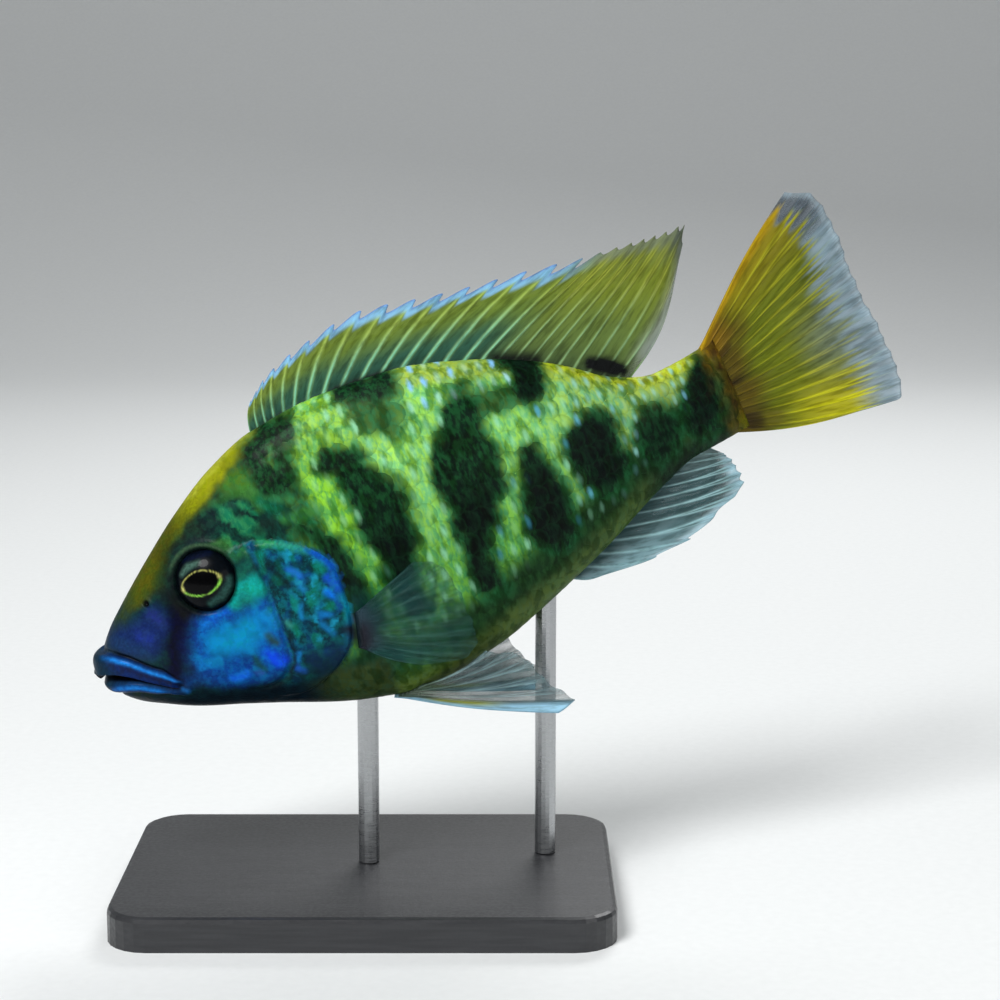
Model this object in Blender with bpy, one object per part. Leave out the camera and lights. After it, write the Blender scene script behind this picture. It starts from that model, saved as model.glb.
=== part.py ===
"""A venustus cichlid, a grown male, life size, as a still model on a plain display stand.

Units are metres and +Z is up. The fish is laid out straight first: along is measured from the
tip of the snout to the tail, across from the middle plane (its left side is negative) and up
from the line through the snout. bend_and_tilt() then curves and tilts that layout into the pose.
"""

import bmesh
import bpy
import numpy as np
from mathutils import Vector
from mathutils.bvhtree import BVHTree

MM = 0.001
GAP = 0.3 * MM                      # clearance kept where two pieces meet

STANDARD_LENGTH = 165 * MM          # snout tip to the base of the tail fin
HEAD_END = 50 * MM                  # cut between head and trunk, under the gill covers
TRUNK_END = 118 * MM                # cut between trunk and tail stalk
STALK_END = 162.7 * MM
JAW_START = 1.8 * MM                # the lower lip lies behind the upper one
JAW_END = 33.4 * MM                 # rear end of the lower jaw on the throat
MOUTH_CORNER = 17 * MM
MOUTH_OPENING = 2.2 * MM            # height of the open mouth at the lips

PITCH = np.radians(20)              # tail held higher than the head
ROLL = np.radians(4)                # back leans to the fish's left
YAW_HEAD = np.radians(6)
YAW_TAIL = np.radians(27)           # the tail swings to the fish's right
YAW_FROM, YAW_TO = 52.5 * MM, 184 * MM
LIFT_TAIL = np.radians(7)           # upward flexion of the tail stalk
LIFT_FROM, LIFT_TO = 131 * MM, 192.5 * MM

EYE_ALONG, EYE_UP = 32.3 * MM, 11.4 * MM
EYE_RADIUS = 7.4 * MM
EYE_DEPTH = 5.0 * MM                # half depth of the flattened eyeball
EYE_PROUD = 2.2 * MM                # how far the eyeball stands out of the head

BASE_LENGTH, BASE_WIDTH, BASE_HEIGHT = 116 * MM, 78 * MM, 8 * MM
BASE_EDGE = 1.2 * MM
ROD_RADIUS = 2.5 * MM
ROD_PLACES = (56.5 * MM, 104 * MM)  # along the belly
CLEARANCE = 38 * MM                 # lowest fin tip above the base
BALANCE = 68 * MM                   # point along the fish that stands over the middle of the base


def smooth_curve(knots, values):
    """Monotone cubic through a few knots: slopes are harmonic means of the neighbouring chords."""
    knots = np.asarray(knots, float)
    values = np.asarray(values, float)
    run = np.diff(knots)
    chord = np.diff(values) / run
    slope = np.empty_like(values)
    slope[0], slope[-1] = chord[0], chord[-1]
    before, after = chord[:-1], chord[1:]
    weight_a = 2 * run[1:] + run[:-1]
    weight_b = run[1:] + 2 * run[:-1]
    same = before * after > 0
    inverse = weight_a / np.where(same, before, 1) + weight_b / np.where(same, after, 1)
    slope[1:-1] = np.where(same, (weight_a + weight_b) / inverse, 0)

    def curve(x):
        x = np.clip(np.asarray(x, float), knots[0], knots[-1])
        k = np.clip(np.searchsorted(knots, x) - 1, 0, len(run) - 1)
        t = (x - knots[k]) / run[k]
        rise = values[k] * (1 + 2 * t) * (1 - t) ** 2 + values[k + 1] * t * t * (3 - 2 * t)
        lean = run[k] * (slope[k] * t * (1 - t) ** 2 - slope[k + 1] * t * t * (1 - t))
        return rise + lean

    return curve


def ease(x, start, end):
    """0 before start, 1 after end, a smooth step between them."""
    t = np.clip((np.asarray(x, float) - start) / (end - start), 0, 1)
    return t * t * (3 - 2 * t)


def mm_curve(*points):
    """Smooth curve through (along, value) points given in millimetres."""
    knots, values = zip(*points)
    return smooth_curve(np.array(knots) * MM, np.array(values) * MM)


back = mm_curve((0, -1.4), (0.8, 0.2), (2.5, 2.0), (4.2, 3.4), (5.5, 5.0), (7, 6.7), (11, 10.4), (20, 18.0),
                (31, 26.4), (42, 33.2), (54, 37.9), (72, 40.2), (88, 39.6), (105, 35.6), (124, 27.3), (140, 16.9),
                (150, 13.8), (165, 14.1))
belly = mm_curve((0, -3.2), (1.2, -4.3), (2.2, -5.9), (3.4, -7.8), (5, -9.7), (8, -12.2), (12, -14.4),
                 (19, -17.9), (30, -21.8), (37, -24.4), (55, -31.0), (71, -33.9), (88, -31.4), (107, -25.3),
                 (124, -18.9), (140, -12.2), (152, -8.9), (165, -8.9))
half_width = mm_curve((0, 3.2), (0.6, 4.6), (2, 6.2), (5, 7.9), (10, 9.6), (18, 11.2), (32, 13.0), (46, 14.0),
                      (62, 14.7), (78, 14.2), (98, 12.0), (120, 8.7), (140, 5.6), (152, 4.3), (165, 3.2))
widest = mm_curve((0, -2.4), (10, -5.0), (24, -6.0), (44, -5.5), (62, -4.0), (98, -2.0), (124, 1.0), (165, 2.6))
mouth_line = mm_curve((0, -2.0), (1.5, -2.1), (4, -2.5), (8, -4.3), (12, -7.0), (15, -8.9), (18, -10.7),
                      (24, -15.4), (32, -20.8), (38, -25.4), (60, -48.0))


def spine_frame():
    """Middle line of the bent fish with its side and up directions, sampled every half millimetre."""
    along = np.arange(-10, 240, 0.5) * MM
    yaw = YAW_HEAD + (YAW_TAIL - YAW_HEAD) * ease(along, YAW_FROM, YAW_TO)
    lift = LIFT_TAIL * ease(along, LIFT_FROM, LIFT_TO)
    forward = np.stack([np.cos(yaw) * np.cos(lift), np.sin(yaw) * np.cos(lift), np.sin(lift)], 1)
    up = np.stack([-np.sin(lift) * np.cos(yaw), -np.sin(lift) * np.sin(yaw), np.cos(lift)], 1)
    side = np.stack([-np.sin(yaw), np.cos(yaw), 0 * yaw], 1)
    steps = (forward[1:] + forward[:-1]) / 2 * np.diff(along)[:, None]
    line = np.concatenate([np.zeros((1, 3)), np.cumsum(steps, 0)])
    snout = np.array([np.interp(0, along, line[:, k]) for k in range(3)])
    return along, line - snout, side, up


SPINE = spine_frame()
TILT = np.array([[np.cos(PITCH), 0, -np.sin(PITCH)], [0, 1, 0], [np.sin(PITCH), 0, np.cos(PITCH)]])
LEAN = np.array([[1, 0, 0], [0, np.cos(ROLL), -np.sin(ROLL)], [0, np.sin(ROLL), np.cos(ROLL)]])


def bend_and_tilt(points):
    """Layout points (..., along across up) carried onto the bent middle line, then leaned and pitched."""
    points = np.asarray(points, float)
    along, line, side, up = SPINE
    at = [np.stack([np.interp(points[..., 0], along, table[:, k]) for k in range(3)], -1)
          for table in (line, side, up)]
    bent = at[0] + points[..., 1:2] * at[1] + points[..., 2:3] * at[2]
    return bent @ (TILT @ LEAN).T


LOWEST_TIP = bend_and_tilt([96 * MM, -11 * MM, -49 * MM])
BALANCE_POINT = bend_and_tilt([BALANCE, 0, 0])
SNOUT = np.array([-BALANCE_POINT[0], -BALANCE_POINT[1], BASE_HEIGHT + CLEARANCE - LOWEST_TIP[2]])


def place(points):
    """Layout points to their place above the stand."""
    return bend_and_tilt(points) + SNOUT


def section_angle(along, height):
    """Angle from the ridge of the back, 0, to the keel of the belly, pi, of a height on the section."""
    mid = widest(along)
    above = (height - mid) / (back(along) - mid)
    below = (height - mid) / (mid - belly(along))
    return np.arccos(np.clip(np.where(height > mid, above, below), -1, 1))


def section_point(along, angle, sign):
    """Point of the body's cross-section: half an ellipse above the widest level and a fuller one below."""
    mid = widest(along)
    cosine = np.cos(angle)
    height = mid + np.where(cosine > 0, (back(along) - mid) * cosine, (mid - belly(along)) * cosine)
    fullness = np.where(cosine > 0, 1.06, 0.86)
    width = half_width(along) * np.abs(np.sin(angle)) ** fullness
    return np.stack(np.broadcast_arrays(along, sign * width, height), -1)


def outward(along, angle, sign):
    """Unit normal of the body's surface, from its slopes along the fish and around the section."""
    small = 0.05 * MM
    turn = 0.01
    ahead = section_point(along + small, angle, sign) - section_point(along - small, angle, sign)
    around = section_point(along, angle + turn, sign) - section_point(along, angle - turn, sign)
    normal = np.cross(ahead, around) * np.asarray(sign)[..., None]
    return normal / np.linalg.norm(normal, axis=-1, keepdims=True)


def material(name, colour, roughness, metallic=0.0):
    """Principled surface of one plain colour."""
    surface = bpy.data.materials.new(name)
    surface.use_nodes = True
    shader = surface.node_tree.nodes["Principled BSDF"]
    shader.inputs["Base Color"].default_value = (*colour, 1)
    shader.inputs["Roughness"].default_value = roughness
    shader.inputs["Metallic"].default_value = metallic
    return surface


def make_object(name, points, faces, surface, smooth_angle=50):
    """Closed mesh object with its faces turned outwards."""
    mesh = bpy.data.meshes.new(name)
    mesh.from_pydata([tuple(p) for p in points], [], faces)
    tidy = bmesh.new()
    tidy.from_mesh(mesh)
    bmesh.ops.remove_doubles(tidy, verts=tidy.verts, dist=0.00002)
    bmesh.ops.recalc_face_normals(tidy, faces=tidy.faces)
    tidy.to_mesh(mesh)
    tidy.free()
    mesh.materials.append(surface)
    mesh.set_sharp_from_angle(angle=np.radians(smooth_angle))
    piece = bpy.data.objects.new(name, mesh)
    bpy.context.scene.collection.objects.link(piece)
    return piece


def loft(name, rings, surface):
    """Tube through closed rings (ring, point, xyz) in the layout, shut by a fan at each end."""
    count, sides = rings.shape[:2]
    centres = np.stack([rings[0].mean(0), rings[-1].mean(0)])
    points = place(np.concatenate([rings.reshape(-1, 3), centres]))
    faces = []
    for i in range(count - 1):
        for j in range(sides):
            a, b = i * sides + j, i * sides + (j + 1) % sides
            faces += [(a, b, b + sides), (a, b + sides, a + sides)]
    first, last = count * sides, (count - 1) * sides
    for j in range(sides):
        faces.append((first, (j + 1) % sides, j))
        faces.append((first + 1, last + j, last + (j + 1) % sides))
    return make_object(name, points, faces, surface)


def slab(name, front, rear, surface):
    """Closed solid between two placed grids (row, column, xyz), split alike on both faces."""
    rows, columns = front.shape[:2]
    size = rows * columns
    points = np.concatenate([front.reshape(-1, 3), rear.reshape(-1, 3)])
    faces = []
    for i in range(rows - 1):
        for j in range(columns - 1):
            a, b, c, d = i * columns + j, i * columns + j + 1, (i + 1) * columns + j + 1, (i + 1) * columns + j
            faces += [(a, b, d), (b, c, d), (a + size, d + size, b + size), (b + size, d + size, c + size)]
    rim = list(range(columns)) + [i * columns + columns - 1 for i in range(1, rows)]
    rim += [(rows - 1) * columns + j for j in range(columns - 2, -1, -1)]
    rim += [i * columns for i in range(rows - 2, 0, -1)]
    for k, a in enumerate(rim):
        b = rim[(k + 1) % len(rim)]
        faces += [(a, a + size, b + size), (a, b + size, b)]
    return make_object(name, points, faces, surface)


SLIVER = 0.03 * MM                  # edges and faces thinner than this are closed up after a cut


def largest_body(piece):
    """Keeps the largest closed surface of a mesh, without slivers."""
    shell = bmesh.new()
    shell.from_mesh(piece.data)
    shell.verts.ensure_lookup_table()
    unseen = set(shell.verts)
    bodies = []
    while unseen:
        stack = [unseen.pop()]
        body = set(stack)
        while stack:
            for edge in stack.pop().link_edges:
                for other in edge.verts:
                    if other in unseen:
                        unseen.discard(other)
                        body.add(other)
                        stack.append(other)
        bodies.append(body)
    bodies.sort(key=len)
    scraps = [vert for body in bodies[:-1] for vert in body]
    bmesh.ops.delete(shell, geom=scraps, context="VERTS")
    bmesh.ops.dissolve_degenerate(shell, edges=shell.edges, dist=SLIVER)
    bmesh.ops.triangulate(shell, faces=shell.faces)
    shell.to_mesh(piece.data)
    shell.free()


def carve(piece, cutters):
    """Cuts a list of closed objects out of a piece and removes them."""
    for cutter in cutters:
        cut = piece.modifiers.new("carve", "BOOLEAN")
        cut.operation = "DIFFERENCE"
        cut.object = cutter
        shaped = bpy.data.meshes.new_from_object(piece.evaluated_get(bpy.context.evaluated_depsgraph_get()))
        piece.modifiers.clear()
        piece.data = shaped
        bpy.data.objects.remove(cutter)
    largest_body(piece)


def ball(name, centre, axis, radius, depth, surface, segments=24, rings=14):
    """Ball at a placed point, flattened to a half depth along an axis."""
    mesh = bpy.data.meshes.new(name)
    shape = bmesh.new()
    bmesh.ops.create_uvsphere(shape, u_segments=segments, v_segments=rings, radius=radius)
    bmesh.ops.scale(shape, verts=shape.verts, vec=(1, 1, depth / radius))
    turn = Vector((0, 0, 1)).rotation_difference(Vector(axis)).to_matrix()
    bmesh.ops.rotate(shape, verts=shape.verts, matrix=turn)
    bmesh.ops.translate(shape, verts=shape.verts, vec=centre)
    bmesh.ops.triangulate(shape, faces=shape.faces)
    shape.to_mesh(mesh)
    shape.free()
    mesh.materials.append(surface)
    mesh.shade_smooth()
    piece = bpy.data.objects.new(name, mesh)
    bpy.context.scene.collection.objects.link(piece)
    return piece


for old in list(bpy.data.objects):
    bpy.data.objects.remove(old)

HEAD_BLUE = material("head_skin", (0.02, 0.12, 0.42), 0.35)
BODY_GREEN = material("body_skin", (0.28, 0.48, 0.05), 0.38)
FIN_YELLOW = material("yellow_fin", (0.42, 0.40, 0.05), 0.45)
FIN_PALE = material("pale_fin", (0.42, 0.62, 0.72), 0.45)
EYE_DARK = material("eye", (0.01, 0.03, 0.02), 0.08)
STAND_GREY = material("stand_paint", (0.05, 0.05, 0.055), 0.45)
STEEL = material("stand_steel", (0.6, 0.6, 0.6), 0.3, 1.0)

# Head: skull, cheeks and upper jaw, with the upper lip round the front of the mouth
HEAD_RINGS = 30
HEAD_SIDE_POINTS = 15
UPPER_LIP, LOWER_LIP = 6.2 * MM, 2.8 * MM
LIP_RISE = 1.0 * MM
HIDDEN_ANGLE = 0.93 * np.pi         # the mouth cut goes no closer to the keel than this
cheek_edge = mm_curve((-24, 38.5), (-17, 41.0), (-11, 43.2), (-3, 43.6), (7, 44.4), (16, 45.0))
COVER_THICKNESS = 1.0 * MM


def lip_roll(distance, width, crest, along):
    """Rounded roll beside the mouth line, highest at crest of its width, that ends at the corner of the mouth."""
    share = np.clip(distance / width, 0, 1) ** (np.log(0.5) / np.log(crest))
    roll = np.sin(np.pi * share) ** 0.8
    return LIP_RISE * roll * (1 - ease(along, MOUTH_CORNER - 3 * MM, MOUTH_CORNER + 2 * MM))


def cheek_swell(along, height):
    """Cheek that stands level with the gill cover and steps down at the cover's front edge."""
    edge = cheek_edge(height)
    rise = ease(along, edge - 16 * MM, edge - 5 * MM) * (along < edge)
    band = ease(height, -24 * MM, -17 * MM) * (1 - ease(height, 10 * MM, 18 * MM))
    return 1.2 * MM * rise * band


HEAD_STATIONS = GAP / 2 + (HEAD_END - GAP) * np.linspace(0, 1, HEAD_RINGS) ** 1.45


def head_rings():
    """Rings of the head above the mouth cut; past the jaw they are whole sections."""
    at = HEAD_STATIONS
    level = mouth_line(at)
    top = np.minimum(section_angle(at, level), HIDDEN_ANGLE)
    share = np.linspace(0, 1, HEAD_SIDE_POINTS)
    angle = top[:, None] * share
    along = np.repeat(at[:, None], HEAD_SIDE_POINTS, 1)
    sides = []
    for sign in (-1, 1):
        flat = section_point(along, angle, sign)
        reach = top[:, None] * (1 - share) * (back(at) - level)[:, None] / 2
        rise = lip_roll(reach, UPPER_LIP, 0.65, along) + cheek_swell(along, flat[..., 2])
        lipped = flat + outward(along, np.clip(angle, 0.02, 3.12), sign) * rise[..., None]
        lipped[..., 2] = np.maximum(lipped[..., 2], np.minimum(level[:, None], flat[..., 2]))
        sides.append(lipped)
    close = []
    for part in (0.5, 1.0, 0.5):
        natural = section_point(at, np.maximum(top, np.pi - (1 - part) * (np.pi - top)), 1)
        height = np.maximum(level, natural[:, 2])
        across = sides[1][:, -1, 1] * (1 - part)
        close.append(np.stack([at, across, height], -1))
    close[2][:, 1] *= -1
    left = sides[0][:, :0:-1]
    return np.concatenate([left, sides[1], np.stack(close, 1)], 1)


head = loft("head", head_rings(), HEAD_BLUE)

# Lower jaw: a boat-shaped piece under the mouth cut, with the lower lip along its rim
JAW_SIDE_POINTS = 9


def jaw_rings():
    """Rings of the body section below the mouth cut, closed by a flat floor of the mouth."""
    at = HEAD_STATIONS[(HEAD_STATIONS > JAW_START) & (HEAD_STATIONS < JAW_END)]
    opening = GAP + MOUTH_OPENING * (1 - ease(at, 0, MOUTH_CORNER))
    level = mouth_line(at) - opening
    rim = section_angle(at, level)
    share = np.linspace(0, 1, JAW_SIDE_POINTS)
    angle = rim[:, None] + (np.pi - rim[:, None]) * share
    along = np.repeat(at[:, None], JAW_SIDE_POINTS, 1)
    sides = []
    for sign in (-1, 1):
        flat = section_point(along, angle, sign)
        reach = (np.pi - rim[:, None]) * share * (level - belly(at))[:, None] / 1.2
        rise = lip_roll(reach, LOWER_LIP, 0.5, along)
        lipped = flat + outward(along, np.clip(angle, 0.02, 3.12), sign) * rise[..., None]
        lipped[..., 2] = np.minimum(lipped[..., 2], level[:, None])
        sides.append(lipped)
    floor = []
    for part in (0.5, 0.0, -0.5):
        floor.append(np.stack([at, sides[0][:, 0, 1] * part, level], -1))
    return np.concatenate([sides[0], sides[1][:, -2::-1], np.stack(floor[::-1], 1)], 1)


lower_jaw = loft("lower_jaw", jaw_rings(), HEAD_BLUE)

# Eyes: flattened balls sunk in round sockets, and the two nostrils in front of them
NOSTRIL_ALONG, NOSTRIL_UP, NOSTRIL_RADIUS = 17.5 * MM, 10.5 * MM, 0.9 * MM


def skin_spot(along, up, sign):
    """Placed point of the head's skin at a height, and the way out of it."""
    angle = section_angle(np.array(along), np.array(up))
    spot = section_point(np.array(along), angle, sign)
    way = place(spot + outward(np.array(along), angle, np.array(sign)) * MM) - place(spot)
    return place(spot), way / np.linalg.norm(way)


for sign, name in ((-1, "eye_left"), (1, "eye_right")):
    spot, way = skin_spot(EYE_ALONG, EYE_UP, sign)
    centre = spot - way * (EYE_DEPTH - EYE_PROUD)
    ball(name, centre, way, EYE_RADIUS, EYE_DEPTH, EYE_DARK)
    room = 1.2 * GAP
    socket = ball("socket", centre, way, EYE_RADIUS + room, EYE_DEPTH + room, EYE_DARK)
    spot, way = skin_spot(NOSTRIL_ALONG, NOSTRIL_UP, sign)
    nostril = ball("nostril", spot, way, NOSTRIL_RADIUS, NOSTRIL_RADIUS, EYE_DARK, 8, 6)
    carve(head, [socket, nostril])

# Gill covers: thin curved flaps over the gap between head and trunk
COVER_TOP, COVER_LOW = 13.5 * MM, -21.5 * MM
COVER_ROWS, COVER_COLUMNS = 15, 9
cover_rear = mm_curve((-21.5, 46.5), (-18.5, 52.0), (-14, 57.6), (-9, 60.4), (-3, 61.4), (4, 60.2), (9, 56.8),
                      (13.5, 50.5))
for sign, name in ((-1, "gill_cover_left"), (1, "gill_cover_right")):
    level = COVER_LOW + (COVER_TOP - COVER_LOW) * np.linspace(0, 1, COVER_ROWS)
    front_edge = cheek_edge(level) + 2.2 * MM
    rear_edge = cover_rear(level)
    part = np.linspace(0, 1, COVER_COLUMNS)
    along = front_edge[:, None] + (rear_edge - front_edge)[:, None] * part
    height = np.repeat(level[:, None], COVER_COLUMNS, 1)
    angle = section_angle(along, height)
    skin = section_point(along, angle, sign)
    normal = outward(along, angle, sign)
    swell = COVER_THICKNESS * (0.7 + 0.6 * np.sin(np.pi * part))
    outer = place(skin + normal * (GAP + swell)[..., None])
    inner = place(skin + normal * GAP)
    slab(name, outer, inner, HEAD_BLUE)


def body_rings(start, end, count, side_points):
    """Whole body sections from start to end."""
    at = np.linspace(start, end, count)
    angle = np.linspace(0, np.pi, side_points)
    along, turn = np.meshgrid(at, angle, indexing="ij")
    left = section_point(along, turn, -1)
    right = section_point(along, turn, 1)
    return np.concatenate([left, right[:, -2:0:-1]], 1)


# Trunk and tail stalk
trunk = loft("trunk", body_rings(HEAD_END + GAP / 2, TRUNK_END - GAP / 2, 22, 15), BODY_GREEN)
tail_stalk = loft("tail_stalk", body_rings(TRUNK_END + GAP / 2, STALK_END, 14, 13), BODY_GREEN)

SPINE_THICKNESS = 1.5 * MM
RAY_THICKNESS = 1.4 * MM
MEMBRANE_THICKNESS = 0.6 * MM
TIP_THICKNESS = 0.5 * MM
ROOT_THICKNESS = 2.0 * MM


def ray_columns(spines, rays):
    """Columns across a fin: each ray's middle with its edges, and the membrane's middle after it.

    Gives the column's place from 0 to 1, its share of ray thickness and its notch depth share.
    """
    total = spines + rays
    spacing = 1 / (total - 1)
    place_at, ridge, notch = [], [], []
    for k in range(total):
        at = k * spacing
        if k < spines:
            if k > 0:
                place_at += [at - 0.2 * spacing]
                ridge += [0.0]
                notch += [0.15]
            place_at += [at, at + 0.2 * spacing]
            ridge += [1.0, 0.0]
            notch += [0.0, 1.0]
        else:
            place_at += [at]
            ridge += [1.0]
            notch += [0.0]
        if k >= spines and k < total - 1:
            place_at += [at + 0.5 * spacing]
            ridge += [0.0]
            notch += [0.35]
    keep = [i for i, at in enumerate(place_at) if at <= 1.0]
    return np.array(place_at)[keep], np.array(ridge)[keep], np.array(notch)[keep]


def fin_grid(base, tip, bow, rows, notch_depth, notch):
    """Grid (row, column, xyz) from base to tip: straight rays bent back by a half sine bow."""
    part = np.linspace(0, 1, rows)[:, None, None]
    reach = 1 - (notch_depth * notch)[None, :, None]
    straight = base + (tip - base) * part * reach
    return straight + bow * np.sin(np.pi * part)


def fin_thickness(rows, ridge, ray_thickness):
    """Thickness (row, column): thick at the root, ridged over the rays, thin at the tips."""
    part = np.linspace(0, 1, rows)[:, None]
    over_ray = ray_thickness + (TIP_THICKNESS - ray_thickness) * part
    between = MEMBRANE_THICKNESS + (TIP_THICKNESS - MEMBRANE_THICKNESS) * part
    thick = between + (over_ray - between) * ridge
    root = np.maximum(ROOT_THICKNESS * (1 - part * 6), 0)
    return np.maximum(thick, root)


def middle_fin(name, spines, rays, base, tip, bow, rows, notch_depth, surface):
    """Fin on the middle plane, its faces half its thickness to either side."""
    at, ridge, notch = ray_columns(spines, rays)
    base_points, tip_points = base(at), tip(at)
    grid = fin_grid(base_points, tip_points, bow(at), rows, notch_depth, notch)
    ray = np.where(np.arange(len(at)) < spines * 3, SPINE_THICKNESS, RAY_THICKNESS)
    half = fin_thickness(rows, ridge, ray)[..., None] / 2 * np.array([0, 1, 0])
    return slab(name, place(grid - half), place(grid + half), surface)


def plane_points(along, up):
    """Layout points on the middle plane."""
    return np.stack([along, 0 * along, up], -1)


# Dorsal fin: sixteen spines, then ten soft rays that run out to a point over the tail stalk
dorsal_root_along = smooth_curve((0, 0.2, 0.6, 1), np.array((53.6, 65, 109, 142)) * MM)
DORSAL_KNOTS = (0, 0.09, 0.2, 0.275, 0.35, 0.445, 0.53, 0.6, 0.705, 0.83, 0.92, 0.96, 1)
dorsal_tip_along = smooth_curve(DORSAL_KNOTS, np.array((56.6, 61.5, 73.9, 86.6, 98.5, 114, 129, 142, 155, 167,
                                                        173.6, 171, 167)) * MM)
dorsal_tip_up = smooth_curve(DORSAL_KNOTS, np.array((44.6, 48.3, 52.7, 54.8, 52.9, 50.4, 48.6, 46.4, 45, 43.2,
                                                     42.4, 38.6, 34.6)) * MM)


def dorsal_base(at):
    """Fin base along the ridge of the back, its first spines close together."""
    along = dorsal_root_along(at)
    return plane_points(along, back(along) + GAP)


def dorsal_bow(at):
    """The spines arch forwards and up, the last rays sag to the rear."""
    sag = ease(at, 0.85, 1.0)
    return plane_points((-0.6 + 2.0 * sag) * MM, (0.6 - 2.4 * sag) * MM)


middle_fin("dorsal_fin", 16, 10, dorsal_base, lambda at: plane_points(dorsal_tip_along(at), dorsal_tip_up(at)),
           dorsal_bow, 6, 0.1, FIN_YELLOW)

# Anal fin: three spines and nine rays, folded back along the tail stalk
ANAL_START, ANAL_END = 111 * MM, 155 * MM
ANAL_KNOTS = (0, 0.09, 0.18, 0.3, 0.455, 0.6, 0.8, 1)
anal_tip_along = smooth_curve(ANAL_KNOTS, np.array((120, 133, 142.6, 152.5, 161, 160.8, 159.4, 158)) * MM)
anal_tip_up = smooth_curve(ANAL_KNOTS, np.array((-25.9, -27.4, -27.1, -24.2, -20.8, -17, -12.8, -11.0)) * MM)


def anal_base(at):
    """Fin base along the keel behind the vent."""
    along = ANAL_START + (ANAL_END - ANAL_START) * at
    return plane_points(along, belly(along) - GAP)


middle_fin("anal_fin", 3, 9, anal_base, lambda at: plane_points(anal_tip_along(at), anal_tip_up(at)),
           lambda at: plane_points(0 * at, -1.0 * MM * (1 - at)), 6, 0.06, FIN_PALE)

# Tail fin: sixteen rays that fan out from the end of the tail stalk
TAIL_LOW, TAIL_HIGH = -8.4 * MM, 13.6 * MM
tail_tip_along = smooth_curve((0, 0.05, 0.12, 0.3, 0.55, 0.8, 0.93, 1),
                              np.array((204, 209, 212, 212.6, 211.6, 212.6, 210.5, 204)) * MM)
tail_tip_up = smooth_curve((0, 0.05, 0.12, 0.3, 0.55, 0.8, 0.93, 1),
                           np.array((-23.6, -25.2, -21.6, -10.2, 6.5, 22.4, 32.0, 36.0)) * MM)


def tail_base(at):
    """Fin base across the end of the tail stalk."""
    return plane_points(STALK_END + GAP + 0 * at, TAIL_LOW + (TAIL_HIGH - TAIL_LOW) * at)


middle_fin("tail_fin", 0, 17, tail_base, lambda at: plane_points(tail_tip_along(at), tail_tip_up(at)),
           lambda at: plane_points(0 * at, 1.6 * MM * (2 * at - 1)), 8, 0.02, FIN_YELLOW)

# Paired fins: each root lies on the trunk's skin, and its rays spread in a leaning fan
PECTORAL_ROOT = ((61.8, -7.4), (59.8, -15.6))
PECTORAL_TIPS = ((0, 0.12, 0.35, 0.65, 0.88, 1), (77.0, 81.0, 83.2, 83.4, 78.6, 71.0),
                 (-30, -34, -38, -38.5, -35, -29), (2.6, 1.6, -5.5, -15.5, -21.0, -20.5))
PELVIC_ROOT = ((62.6, 0.955), (68.6, 0.880))
PELVIC_TIPS = ((0, 0.15, 0.45, 0.75, 1), (96.0, 100.5, 96.0, 92.5, 85.0), (-11.0, -11.5, -13.0, -14.0, -14.5),
               (-49.3, -48.0, -40.5, -32.0, -27.5))
PAIRED_ROOT_THICKNESS = 1.8 * MM


def paired_fin(name, sign, root, tips, rays, rows, bow):
    """Fan from a root line on the skin to a tip curve, thickened along its own plane's normal."""
    at, ridge, notch = ray_columns(0, rays)
    knots, along, across, up = tips
    tip = np.stack([smooth_curve(knots, np.array(table) * MM)(at) for table in (along, across, up)], -1)
    grid = fin_grid(root, tip, bow, rows, 0.03, notch)
    normal = np.cross(grid[-1, -1] - grid[0, 0], grid[-1, 0] - grid[0, -1])
    normal /= np.linalg.norm(normal)
    half = fin_thickness(rows, ridge, RAY_THICKNESS)[..., None] / 2 * normal
    front, rear = grid - half, grid + half
    for face in (front, rear):
        face[..., 1] *= -sign
    return slab(name, place(front), place(rear), FIN_PALE)


for sign, side in ((-1, "left"), (1, "right")):
    spots = ray_columns(0, 12)[0]
    (top_along, top_up), (low_along, low_up) = PECTORAL_ROOT
    along = (top_along + (low_along - top_along) * spots) * MM
    height = (top_up + (low_up - top_up) * spots) * MM
    angle = section_angle(along, height)
    root = section_point(along, angle, -1) + outward(along, angle, -1) * (GAP + 0.25 * MM)
    paired_fin("pectoral_fin_" + side, sign, root, PECTORAL_TIPS, 12, 7, np.array([-0.6, -1.2, 0]) * MM)
    spots = ray_columns(0, 7)[0]
    (low_along, low_turn), (high_along, high_turn) = PELVIC_ROOT
    along = (low_along + (high_along - low_along) * spots) * MM
    angle = np.pi * (low_turn + (high_turn - low_turn) * spots)
    root = section_point(along, angle, -1) + outward(along, angle, -1) * (GAP + 0.35 * MM)
    paired_fin("pelvic_fin_" + side, sign, root, PELVIC_TIPS, 7, 7, np.array([0.5, -0.8, -1.0]) * MM)

# Stand: a flat painted base and two steel rods that end against the belly
base_mesh = bpy.data.meshes.new("stand_base")
block = bmesh.new()
bmesh.ops.create_cube(block, size=1)
bmesh.ops.scale(block, verts=block.verts, vec=(BASE_LENGTH, BASE_WIDTH, BASE_HEIGHT))
bmesh.ops.translate(block, verts=block.verts, vec=(0, 0, BASE_HEIGHT / 2))
upright = [edge for edge in block.edges if abs(edge.verts[0].co.z - edge.verts[1].co.z) > BASE_HEIGHT / 2]
bmesh.ops.bevel(block, geom=upright, offset=10 * MM, segments=6, profile=0.5, affect="EDGES")
rim = [edge for edge in block.edges if min(vert.co.z for vert in edge.verts) > BASE_HEIGHT - GAP]
bmesh.ops.bevel(block, geom=rim, offset=BASE_EDGE, segments=2, profile=0.5, affect="EDGES")
block.to_mesh(base_mesh)
block.free()
base_mesh.materials.append(STAND_GREY)
base_mesh.set_sharp_from_angle(angle=np.radians(30))
stand_base = bpy.data.objects.new("stand_base", base_mesh)
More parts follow.
